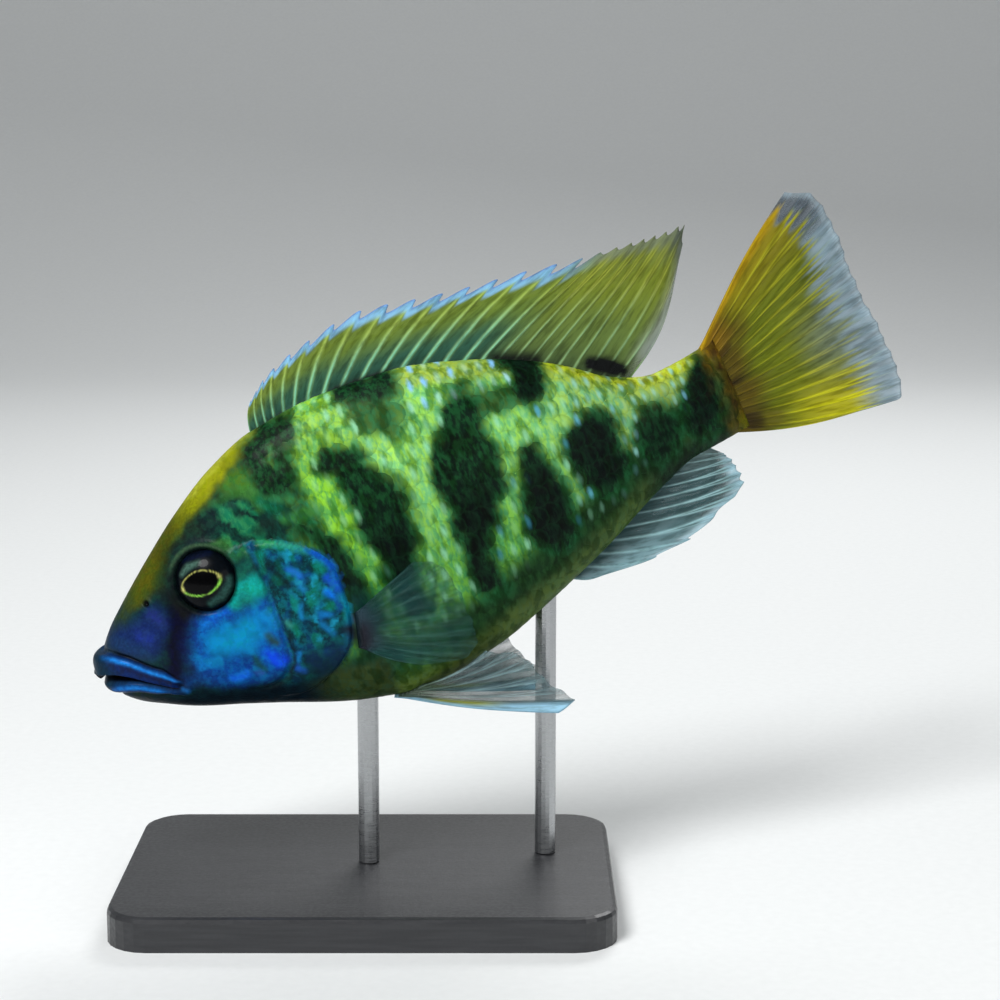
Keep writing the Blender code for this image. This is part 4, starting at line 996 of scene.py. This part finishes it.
def eye_paint(p, q, front):
    """Colour of the eyeball from its place in millimetres, p rearwards and q up, and its share in front.

    The pupil is |across / half|^1.55 + |high / 2.9|^2 = 1, drawn out to the front.
    """
    across, high = p + 0.6, q + 0.3 + 0.06 * p
    turn = np.arctan2(high, across)
    half = np.where(across > 0, 4.5, 4.9)
    pupil = 2.9 * ((np.abs(across) / half) ** 1.55 + (np.abs(high) / 2.9) ** 2) ** (1 / 1.8)
    at = p * MM, q * MM
    coat = Coat(p, "#050A10")
    # painted reflection: a pale grey-green crescent on the upper front of the iris
    coat.lay(band(*at, ((-4.4, 3.2, 0.5), (-2.4, 4.3, 0.8), (0.2, 4.4, 0.5)), 0.7) * 0.85, "#4A6C60")
    coat.lay(band(*at, ((-3.0, 6.0, 0.5), (3.0, 5.6, 0.6)), 0.8) * 0.7, "#0A1430")
    # painted reflection: a pale teal crescent on the lower rear of the iris
    under = band(*at, ((-0.6, -5.4, 0.6), (2.4, -4.8, 0.8), (4.8, -3.0, 0.8), (5.6, -1.4, 0.5)), 0.7)
    coat.lay(under * 0.8, "#2E5A52")
    ring = bell(pupil, 2.9, 0.12)
    closed = 1 - 0.9 * bell(turn, -1.5, 0.24) - 0.5 * bell(turn, -2.75, 0.12)
    coat.lay(ring * closed, "#B0B060")
    coat.lay(bell(pupil, 2.86, 0.17) * ease(q, -0.4, -1.4) * closed, "#8CE050")
    tips = bell(np.hypot(p + 5.2, q + 0.1), 0, 0.5) + bell(np.hypot(p - 3.8, q + 0.3), 0, 0.4)
    coat.lay(tips, "#D0D078")
    coat.lay(ease(pupil, 2.75, 2.5), "#010102")
    coat.lay(1 - front, "#0A0F12")
    return coat.shown[0]


def skin_spot(along, up, side):
    """Placed point of the skin at a height, with the ways out of it, to the rear and up."""
    angle = section_angle(np.array(along), np.array(up))
    spot = section_point(np.array(along), angle, side)
    normal = outward(np.array(along), angle, np.array(side))
    rear = np.array([1.0, 0, 0]) - normal * normal[0]
    rear /= np.linalg.norm(rear)
    upward = np.cross(normal, rear) * -side
    start = place(spot)
    ways = [place(spot + way * MM) - start for way in (normal, rear, upward)]
    return start, [way / np.linalg.norm(way) for way in ways]


for side, word in SIDES:
    start, (out, rear, upward) = skin_spot(*EYE, side)
    centre = start - out * (EYE_DEPTH - EYE_PROUD)
    fall = np.linspace(0, np.pi, EYE_RINGS + 1)[1:-1]
    turn = np.linspace(0, 2 * np.pi, EYE_SPOKES, endpoint=False)
    fall, turn = np.meshgrid(fall, turn, indexing="ij")
    p, q = np.sin(fall) * np.cos(turn), np.sin(fall) * np.sin(turn)
    depth = np.cos(fall)
    local = np.concatenate([np.stack([p, q, depth], -1).reshape(-1, 3), [[0, 0, 1], [0, 0, -1]]])
    points = centre + local[:, :1] * EYE_RADIUS * rear + local[:, 1:2] * EYE_RADIUS * upward
    points += local[:, 2:] * EYE_DEPTH * out
    shown = eye_paint(local[:, 0] * EYE_RADIUS / MM, local[:, 1] * EYE_RADIUS / MM,
                      ease(local[:, 2], -0.1, 0.1))
    eye = build("eye_ball_" + word, points, closed_faces(EYE_RINGS - 1, EYE_SPOKES), eye_glass, paint=shown,
                layout=local * EYE_RADIUS)
    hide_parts("eye_" + word)

# Fins: rays in a thin clear membrane. Spines of the dorsal fin end in free lappets, and soft rays fork
# twice towards the margin. The membranes thin out and clear towards the edge.
fin_cast, tree, shader = new_material("varnished_fin_membrane", Roughness=0.5, Specular_IOR_Level=0.12)
paint = given(tree, "paint")
solid = given(tree, "solid", "Fac")
weave = given(tree, "weave", "Vector")
streaks = noise(tree, weave, 1.0, 3.0, 0.6)
deeper = deepened(tree, paint, "#8C8C84")
base = mixed(tree, stepped(tree, streaks, 0.4, 0.68, 0.0, 0.6), paint, deeper)
alpha = maths(tree, "ADD", stepped(tree, streaks, 0.3, 0.7, -0.05, 0.08), solid, use_clamp=True)
connect(tree, shader, Base_Color=base, Alpha=alpha, Normal=bump(tree, streaks, 0.2, 0.0003))


def ray_pattern(at, part, spines, rays):
    """Ray strength and notch depth over the fin, from the place across, 0 to 1, and the part outward.

    Each ray is a bell-shaped ridge; a soft ray parts in two past 0.35 of its length and in four past 0.7.
    The notch before each spine is as deep as the lappet behind the spine is high.
    """
    cell = at * (spines + rays - 1)
    k = np.minimum(np.floor(cell + 1e-9), spines + rays - 2)
    c = cell - k
    spiny = (k < spines - 0.5) & (spines > 0)
    off = np.abs(np.where(c < 0.5, c, c - 1))
    fork = 0.17 * ease(part, 0.35, 0.95)
    twig = 0.085 * ease(part, 0.7, 1.0)
    width = 0.075 - 0.03 * ease(part, 0.5, 1.0)
    soft = np.maximum(bell(off - fork, twig, width), bell(off - fork, -twig, width))
    spine = bell(off, 0, 0.1)
    notch = np.where(spiny, ease(c, 0.03, 0.2) * (1 - ease(c, 0.2, 0.95)), 0.35 * np.sin(np.pi * c))
    return np.where(spiny, spine, soft), notch, spiny


def fin_piece(name, node, spines, rays, shape, painted, notch_depth, per_ray=14, rows=46,
              thick=(1.3, 1.0)):
    """Closed fin: a grid of rays by rows, thickened both ways, with its two faces joined round the rim.

    thick is that of a spine and of a soft ray at the root, in millimetres. Both thin out to the edge.
    """
    at, part = np.meshgrid(np.linspace(0, 1, (spines + rays - 1) * per_ray + 1), np.linspace(0, 1, rows))
    ray, notch, spiny = ray_pattern(at, part, spines, rays)
    grid, normal = shape(at, part * (1 - notch_depth * notch))
    edge, web, foot = 0.42 * MM, (0.45 - 0.13 * part) * MM, 1.7 * MM * (1 - part * 7)
    ray_thick = np.where(spiny, thick[0], thick[1]) * MM
    over = ray_thick + (edge - ray_thick) * part
    half = np.maximum(web + (over - web) * ray, np.maximum(foot, 0)) / 2
    ripple = 0.3 * MM * np.sin(at * 37 + part * 3) * part * ease(part, 0, 0.3)
    points = np.stack([grid + normal * (ripple + way * half)[..., None] for way in (-1, 1)])
    count, columns = at.size, at.shape[1]
    last = (rows - 1) * columns
    rim = np.concatenate([np.arange(columns), np.arange(1, rows) * columns + columns - 1,
                          last + np.arange(columns - 2, -1, -1), np.arange(rows - 2, 0, -1) * columns])
    after = np.roll(rim, -1)
    faces = [grid_faces(rows, columns), grid_faces(rows, columns, start=count)[:, ::-1],
             np.stack([rim, rim + count, after + count, after], -1)]
    shown, solid = painted(at, part, ray, grid)
    weave = np.stack([at * (spines + rays) * 3.0, part * 5, 0 * at], -1)
    piece = build(name, place(points), faces, fin_cast, paint=[shown, shown], solid=[solid, solid],
                  weave=[weave, weave])
    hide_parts(node)


def on_middle(along, up):
    """Layout points on the middle plane."""
    return np.stack(np.broadcast_arrays(along, 0 * along, up), -1)


def middle_fin(base, tip_along, tip_up, bow):
    """Shape of a fin on the middle plane: straight rays from base to tip, bent back by a half sine bow."""
    def shape(at, part):
        root, end = base(at), on_middle(tip_along(at), tip_up(at))
        part = part[..., None]
        return root + (end - root) * part + bow(at) * np.sin(np.pi * part), np.array([0.0, 1.0, 0.0])
    return shape


def at_knots(knots, values):
    """Smooth curve of values in millimetres over knots from 0, the fin's first ray, to 1, its last."""
    return smooth_curve(knots, np.array(values) * MM)


# Dorsal fin: sixteen hard spines with free blue lappets at their tips, then ten soft rays drawn out to a
# point over the tail stalk. Its web is dusky low down, where the dark bars of the flank run on into it.
KNOTS = (0, 0.09, 0.2, 0.275, 0.35, 0.445, 0.53, 0.6, 0.705, 0.83, 0.92, 0.96, 1)
dorsal_along = at_knots(KNOTS, (56.6, 61.5, 73.9, 86.6, 98.5, 114, 129, 142, 155, 167, 173.6, 171, 167))
dorsal_up = at_knots(KNOTS, (44.6, 48.3, 52.7, 54.8, 52.9, 50.4, 48.6, 46.4, 45, 43.2, 42.4, 38.6, 34.6))
dorsal_root_along = at_knots((0, 0.2, 0.6, 1), (53.6, 65, 109, 142))


def dorsal_base(at):
    """Line along the ridge of the back, sunk a little under the skin, its first spines close together."""
    along = dorsal_root_along(at)
    return on_middle(along, back(along) - 0.9 * MM)


def dorsal_bow(at):
    """The spines arch forwards and up, the last rays sag to the rear."""
    sag = ease(at, 0.85, 1.0)
    return on_middle((-0.6 + 2.0 * sag) * MM, (0.6 - 2.4 * sag) * MM)


def dorsal_paint(at, part, ray, grid):
    """Yellow-olive fin with dusky green between the spines low down and a pale blue band of lappets."""
    coat = Coat(at, "#728A28")
    spot = grid[..., 0], grid[..., 2]
    soft = ease(at, 0.55, 0.68)
    wander = mottle(at, part * 0.2, 0.021, 31)
    coat.lay(soft * 0.6, "#86901E")
    coat.lay(ease(part + 0.1 * (wander - 0.5), 0.78, 0.2) * (1 - ray) * (1 - soft * 0.5) * 0.95, "#28584A")
    coat.lay(ease(part, 0.25, 0.0) * (1 - ray) * 0.6, "#16302A")
    coat.lay(ray * (1 - soft) * 0.9, "#A8C25C")
    coat.lay(ray * soft * 0.7, "#A2A844")
    coat.lay(ray * ease(part, 0.72, 0.2) * (1 - soft * 0.5) * 0.9, "#74C8AC")
    for strength, *line in BARS[:-1]:
        coat.lay(band(*spot, line, 1.3) * strength * ease(part, 0.14, 0.04), "#060C0A")
    coat.lay(band(*spot, BARS[-1][1:], 0.7), "#040808")
    coat.lay(ease(part + 0.06 * (wander - 0.5), 0.80, 0.9) * (1 - soft), "#8ECBF0")
    coat.lay(ease(part, 0.94, 1.0) * (1 - soft) * 0.7, "#6486D2")
    coat.lay(ease(part, 0.84, 0.96) * soft * 0.8, "#7C886E")
    coat.lay(ease(at, 0.84, 0.9) * ease(part, 0.7, 0.95) * (0.4 + 0.6 * wander) * 0.8, "#4A5550")
    trailing = ease(at, 0.93, 1.0)
    coat.lay(trailing * 0.8 * ease(part, 0.1, 0.3), "#9AA6A0")
    blot = band(*spot, BARS[-1][1:], 0.9)
    solid = 0.97 - 0.2 * (1 - ray) * ease(part, 0.4, 0.9) - 0.35 * trailing * (1 - ray) * (1 - blot)
    return coat.shown[0], solid


fin_piece("dorsal_fin_rayed", "dorsal_fin", 16, 10,
          middle_fin(dorsal_base, dorsal_along, dorsal_up, dorsal_bow), dorsal_paint, 0.12)

# Anal fin: three short spines and nine soft rays along the keel behind the vent, a pale blue-white fan with
# dark furrows near the body.
KNOTS = (0, 0.09, 0.18, 0.3, 0.455, 0.6, 0.8, 1)
anal_along = at_knots(KNOTS, (120, 133, 142.6, 152.5, 161, 160.8, 159.4, 158))
anal_up = at_knots(KNOTS, (-25.9, -27.4, -27.1, -24.2, -20.8, -17, -12.8, -11.0))


def anal_base(at):
    """Line along the keel behind the vent."""
    along = (111 + 44 * at) * MM
    return on_middle(along, belly(along) + 0.9 * MM)


def anal_paint(at, part, ray, grid):
    """Pale blue-white rays over dark teal furrows, greyer beside the body and to the rear."""
    coat = Coat(at, "#2E565A")
    coat.lay(ray ** 0.8, "#A8D2D6")
    coat.lay(ease(at, 0.4, 0.08) * ease(part, 0.1, 0.5) * 0.75, "#98C6D0")
    coat.lay(ease(part, 0.3, 0.0) * 0.75, "#16302E")
    coat.lay(ease(part, 0.82, 0.96), "#A0CCDA")
    coat.lay(ease(at, 0.6, 1.0) * 0.6, "#75908E")
    solid = 0.8 + 0.15 * ray + 0.15 * ease(part, 0.3, 0.0) - 0.25 * ease(part, 0.7, 1.0) * (1 - ray)
    return coat.shown[0], np.clip(solid, 0, 0.97)


fin_piece("anal_fin_rayed", "anal_fin", 3, 9,
          middle_fin(anal_base, anal_along, anal_up,
                     lambda at: on_middle(0 * at, -1.0 * MM * (1 - at))),
          anal_paint, 0.08)

# Tail fin: seventeen rays that spread from the end of the stalk, yellow over olive, with a clear margin worn
# thin at the edge as in a grown fish.
KNOTS = (0, 0.05, 0.12, 0.3, 0.55, 0.8, 0.93, 1)
tail_along = at_knots(KNOTS, (204, 209, 212, 212.6, 211.6, 212.6, 210.5, 204))
tail_up = at_knots(KNOTS, (-23.6, -25.2, -21.6, -10.2, 6.5, 22.4, 32.0, 36.0))


def tail_paint(at, part, ray, grid):
    """Yellow rays over olive, brown at the base, with a clear grey-blue margin."""
    coat = Coat(at, "#6C7812")
    coat.lay(ease(at, 0.75, 1.0) * 0.7, "#A08C0C")
    coat.lay(ease(at, 0.35, 0.1) * ease(part, 0.2, 0.6), "#B8B414")
    coat.lay(ray * (0.3 + 0.6 * mottle(at, part * 0.3, 0.09, 36)), "#B4B42A")
    coat.lay(ray * ease(at, 0.4, 0.1) * ease(part, 0.2, 0.5), "#DAD814")
    middle = bell(at, 0.42, 0.14) * ease(part, 0.45, 0.75)
    coat.lay(middle * 0.6, "#7C8C86")
    smudge = mottle(at, part * 0.5, 0.07, 35)
    coat.lay(ease(part + 0.14 * (smudge - 0.5), 0.36, 0.12) * 0.9, "#5C4A10")
    coat.lay(ease(part, 0.3, 0.12) * ease(smudge, 0.5, 0.75) * 0.85, "#33260E")
    coat.lay(ease(part, 0.26, 0.1) * ease(at, 0.72, 0.9) * 0.8, "#8E6C10")
    wander = mottle(at, part * 0.1, 0.014, 33) + 0.7 * ray
    margin = ease(part - 0.12 * (wander - 0.7), 0.68 + 0.1 * at, 0.9)
    coat.lay(margin, "#8CA8B6")
    coat.lay(margin * ease(at, 0.78, 0.92), "#4E5C68")
    coat.lay(margin * ease(part, 0.94, 1.0) * 0.6, "#C0D6E2")
    coat.lay(ease(at, 0.965, 0.99) * (1 - margin) * 0.8, "#C09A04")
    solid = 0.97 - 0.15 * (1 - ray) * part - 0.3 * margin * (1 - 0.4 * ray)
    return coat.shown[0], solid


fin_piece("tail_fin_rayed", "tail_fin", 0, 17,
          middle_fin(lambda at: on_middle(163 * MM + 0 * at, (-8.4 + 22 * at) * MM), tail_along, tail_up,
                     lambda at: on_middle(0 * at, 1.6 * MM * (2 * at - 1))),
          tail_paint, 0.025, rows=64, per_ray=16)

# Breast and belly fins: a nearly clear fan behind each gill cover, and a pointed fan under the shoulder with
# a stiff white leading edge. The right ones mirror the left.
PECTORAL_ROOT = ((61.8, -7.4), (59.8, -15.6))
PECTORAL_TIPS = ((0, 0.12, 0.35, 0.65, 0.88, 1), (77.0, 81.0, 83.2, 83.4, 78.6, 71.0),
                 (-30, -34, -38, -38.5, -35, -29), (2.6, 1.6, -5.5, -15.5, -21.0, -20.5))
PELVIC_ROOT = ((62.6, 0.955), (68.6, 0.880))
PELVIC_TIPS = ((0, 0.15, 0.45, 0.75, 1), (96.0, 100.5, 96.0, 92.5, 85.0),
               (-11.0, -11.5, -13.0, -14.0, -14.5),
               (-49.3, -48.0, -40.5, -32.0, -27.5))


def paired_shape(side, root, tips, bow):
    """Shape of a fan from a root line on the skin to a tip curve, mirrored for the right side."""
    knots, *tables = tips
    curves = [at_knots(knots, table) for table in tables]

    def shape(at, part):
        start = root(at)
        end = np.stack([curve(at) for curve in curves], -1)
        part = part[..., None]
        grid = start + (end - start) * part + np.array(bow) * MM * np.sin(np.pi * part)
        normal = np.cross(grid[-1, -1] - grid[0, 0], grid[-1, 0] - grid[0, -1])
        normal /= np.linalg.norm(normal)
        flip = np.array([1, -side, 1])
        return grid * flip, normal * flip

    return shape


def pectoral_root(at):
    """Root line behind the gill cover."""
    (top_along, top_up), (low_along, low_up) = PECTORAL_ROOT
    along, height = ((a + (b - a) * at) * MM for a, b in ((top_along, low_along), (top_up, low_up)))
    angle = section_angle(along, height)
    return section_point(along, angle, -1) + outward(along, angle, -1) * 0.3 * MM


def pelvic_root(at):
    """Root line beside the keel under the shoulder."""
    (low_along, low_turn), (high_along, high_turn) = PELVIC_ROOT
    along = (low_along + (high_along - low_along) * at) * MM
    angle = np.pi * (low_turn + (high_turn - low_turn) * at)
    return section_point(along, angle, -1) + outward(along, angle, -1) * 0.2 * MM


def pectoral_paint(at, part, ray, grid):
    """Almost clear fan with thin grey-green rays, and a painted shadow at the root under the gill cover's
    edge.
    """
    coat = Coat(at, "#1C4644")
    coat.lay(ray * 0.28, "#5C8C84")
    coat.lay(ease(part, 0.34, 0.06) * 0.7, "#3C4C5E")
    coat.lay(ease(part, 0.22, 0.04) * 0.9 * ease(at, 0.15, 0.5), "#261E2A")
    # painted shadow at the root, where the gill cover's edge overhangs it
    coat.lay(ease(part, 0.07, 0.0), "#10242C")
    solid = 0.5 + 0.06 * ray + 0.25 * ease(part, 0.25, 0.0) - 0.3 * ease(part, 0.55, 1.0)
    return coat.shown[0], solid


def pelvic_paint(at, part, ray, grid):
    """Clear blue-white fan with a solid white leading edge and a yellow tint near the body."""
    coat = Coat(at, "#4A6668")
    coat.lay(ray * 0.85, "#A8C8CE")
    coat.lay(ease(part, 0.5, 0.1) * ease(at, 0.0, 0.35) * 0.6, "#5C6E3C")
    lead = ease(at, 0.2, 0.08)
    coat.lay(lead, "#A6D8F2")
    coat.lay(bell(at, 0.14, 0.07) * ease(part, 0.1, 0.25) * ease(part, 0.65, 0.4), "#B4BC48")
    worn = ease(part, 0.7, 1.0) * (1 - lead)
    solid = 0.5 + 0.3 * ray + 0.5 * lead + 0.3 * ease(part, 0.3, 0.0) - 0.2 * worn
    return coat.shown[0], np.clip(solid, 0, 0.97)


for side, word in SIDES:
    for name, rays, root, tips, bow, painted, rows, thick in (
            ("pectoral", 12, pectoral_root, PECTORAL_TIPS, (-0.6, -1.2, 0), pectoral_paint, 36, (1.0, 0.7)),
            ("pelvic", 7, pelvic_root, PELVIC_TIPS, (0.5, -0.8, -1.0), pelvic_paint, 40, (1.1, 0.9))):
        fin_piece(name + "_rayed_" + word, name + "_fin_" + word, 0, rays,
                  paired_shape(side, root, tips, bow), painted, 0.03, rows=rows, thick=thick)

# Stand: a hardwood base painted satin black, its edges rounded by hand, and two brushed steel rods. The
# solids already have their real shape, so they only take their finish here.
stand_paint, tree, shader = new_material("satin_paint_on_hardwood", Roughness=0.42, Coat_Weight=0.15)
spot = add(tree, "TexCoord").outputs["Object"]
stretch = add(tree, "Mapping", {"Vector": spot, "Scale": (60.0, 900.0, 900.0)}).outputs[0]
wood = noise(tree, stretch, 1.0, 4.0)
orange_peel = noise(tree, spot, 1100.0, 2.0)
base = mixed(tree, stepped(tree, wood, 0.35, 0.7), colour("#26272A"), colour("#303134"))
connect(tree, shader, Base_Color=base, Roughness=stepped(tree, orange_peel, 0.3, 0.7, 0.36, 0.5),
        Normal=bump(tree, maths(tree, "MULTIPLY_ADD", wood, 0.5, orange_peel), 0.15, 0.0002))
rod_steel, tree, shader = new_material("brushed_steel", Metallic=1.0, Roughness=0.3)
spot = add(tree, "TexCoord").outputs["Object"]
stretch = add(tree, "Mapping", {"Vector": spot, "Scale": (300.0, 300.0, 9000.0)}).outputs[0]
brush = noise(tree, stretch, 1.0, 3.0)
connect(tree, shader, Base_Color=mixed(tree, brush, colour("#9A9C9E"), colour("#C4C6C8")),
        Roughness=stepped(tree, brush, 0.3, 0.7, 0.24, 0.42), Normal=bump(tree, brush, 0.12, 0.0001))
for name, finish in (("stand_base", stand_paint), ("stand_rod_front", rod_steel),
                     ("stand_rod_rear", rod_steel)):
    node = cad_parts[name]
    node.data.materials.clear()
    node.data.materials.append(finish)

# Studio: a pale floor that curves up behind the model, one large soft light from the upper left and
# weaker ones to fill and to lift the outline. The camera stands where the photograph was taken.
studio_paper, tree, shader = new_material("pale_studio_paper", Roughness=0.9)
spot = add(tree, "TexCoord").outputs["Object"]
fibre = noise(tree, spot, 400.0, 3.0)
connect(tree, shader, Base_Color=mixed(tree, fibre, colour("#E6E8E8"), colour("#EEF0F0")))
turn, bend_radius = np.linspace(0.1, 1.5, 16), 0.8
sweep = np.concatenate([np.stack([np.linspace(-1.2, 1.0, 8), np.zeros(8)], -1),
                        np.stack([1.0 + bend_radius * np.sin(turn), bend_radius * (1 - np.cos(turn))], -1),
                        [[1.8, 2.6]]])
paper = np.stack([np.insert(sweep, 0, x, 1) for x in np.linspace(-3, 3, 13)])
mesh = bpy.data.meshes.new("studio_floor")
mesh.from_pydata(paper.reshape(-1, 3).tolist(), [], grid_faces(13, len(sweep))[:, ::-1].tolist())
mesh.materials.append(studio_paper)
mesh.shade_smooth()
floor = in_scene("studio_floor", mesh)

AIM = np.array([0.02, 0.0, 0.12])
for name, spot, size, power in (("key", (-0.40, -0.62, 0.95), 0.5, 13.0),
                                ("fill", (0.9, -0.9, 0.45), 0.8, 2.5),
                                ("rim", (0.25, 0.75, 0.8), 0.5, 5.0)):
    lamp = bpy.data.lights.new(name, "AREA")
    lamp.size = size
    lamp.energy = power
    lamp.shape = "DISK"
    holder = in_scene(name, lamp)
    holder.location = spot
    away = np.array(spot) - AIM
    holder.rotation_euler = (np.arctan2(np.hypot(away[0], away[1]), away[2]), 0,
                             np.arctan2(away[0], -away[1]))
world = bpy.data.worlds.new("studio")
world.use_nodes = True
sky = world.node_tree.nodes["Background"].inputs
sky["Color"].default_value, sky["Strength"].default_value = colour("#E6EAEC"), 0.22
bpy.context.scene.world = world
bpy.context.scene.view_settings.view_transform = "Standard"

lens = bpy.data.cameras.new("camera")
lens.lens = 85
lens.sensor_width = 36
lens.clip_start = 0.01
camera = in_scene("camera", lens)
camera.location = SNOUT + np.array([94.651, -534.131, 132.910]) * MM
camera.rotation_euler = (np.radians(80), 0, 0)
bpy.context.scene.camera = camera
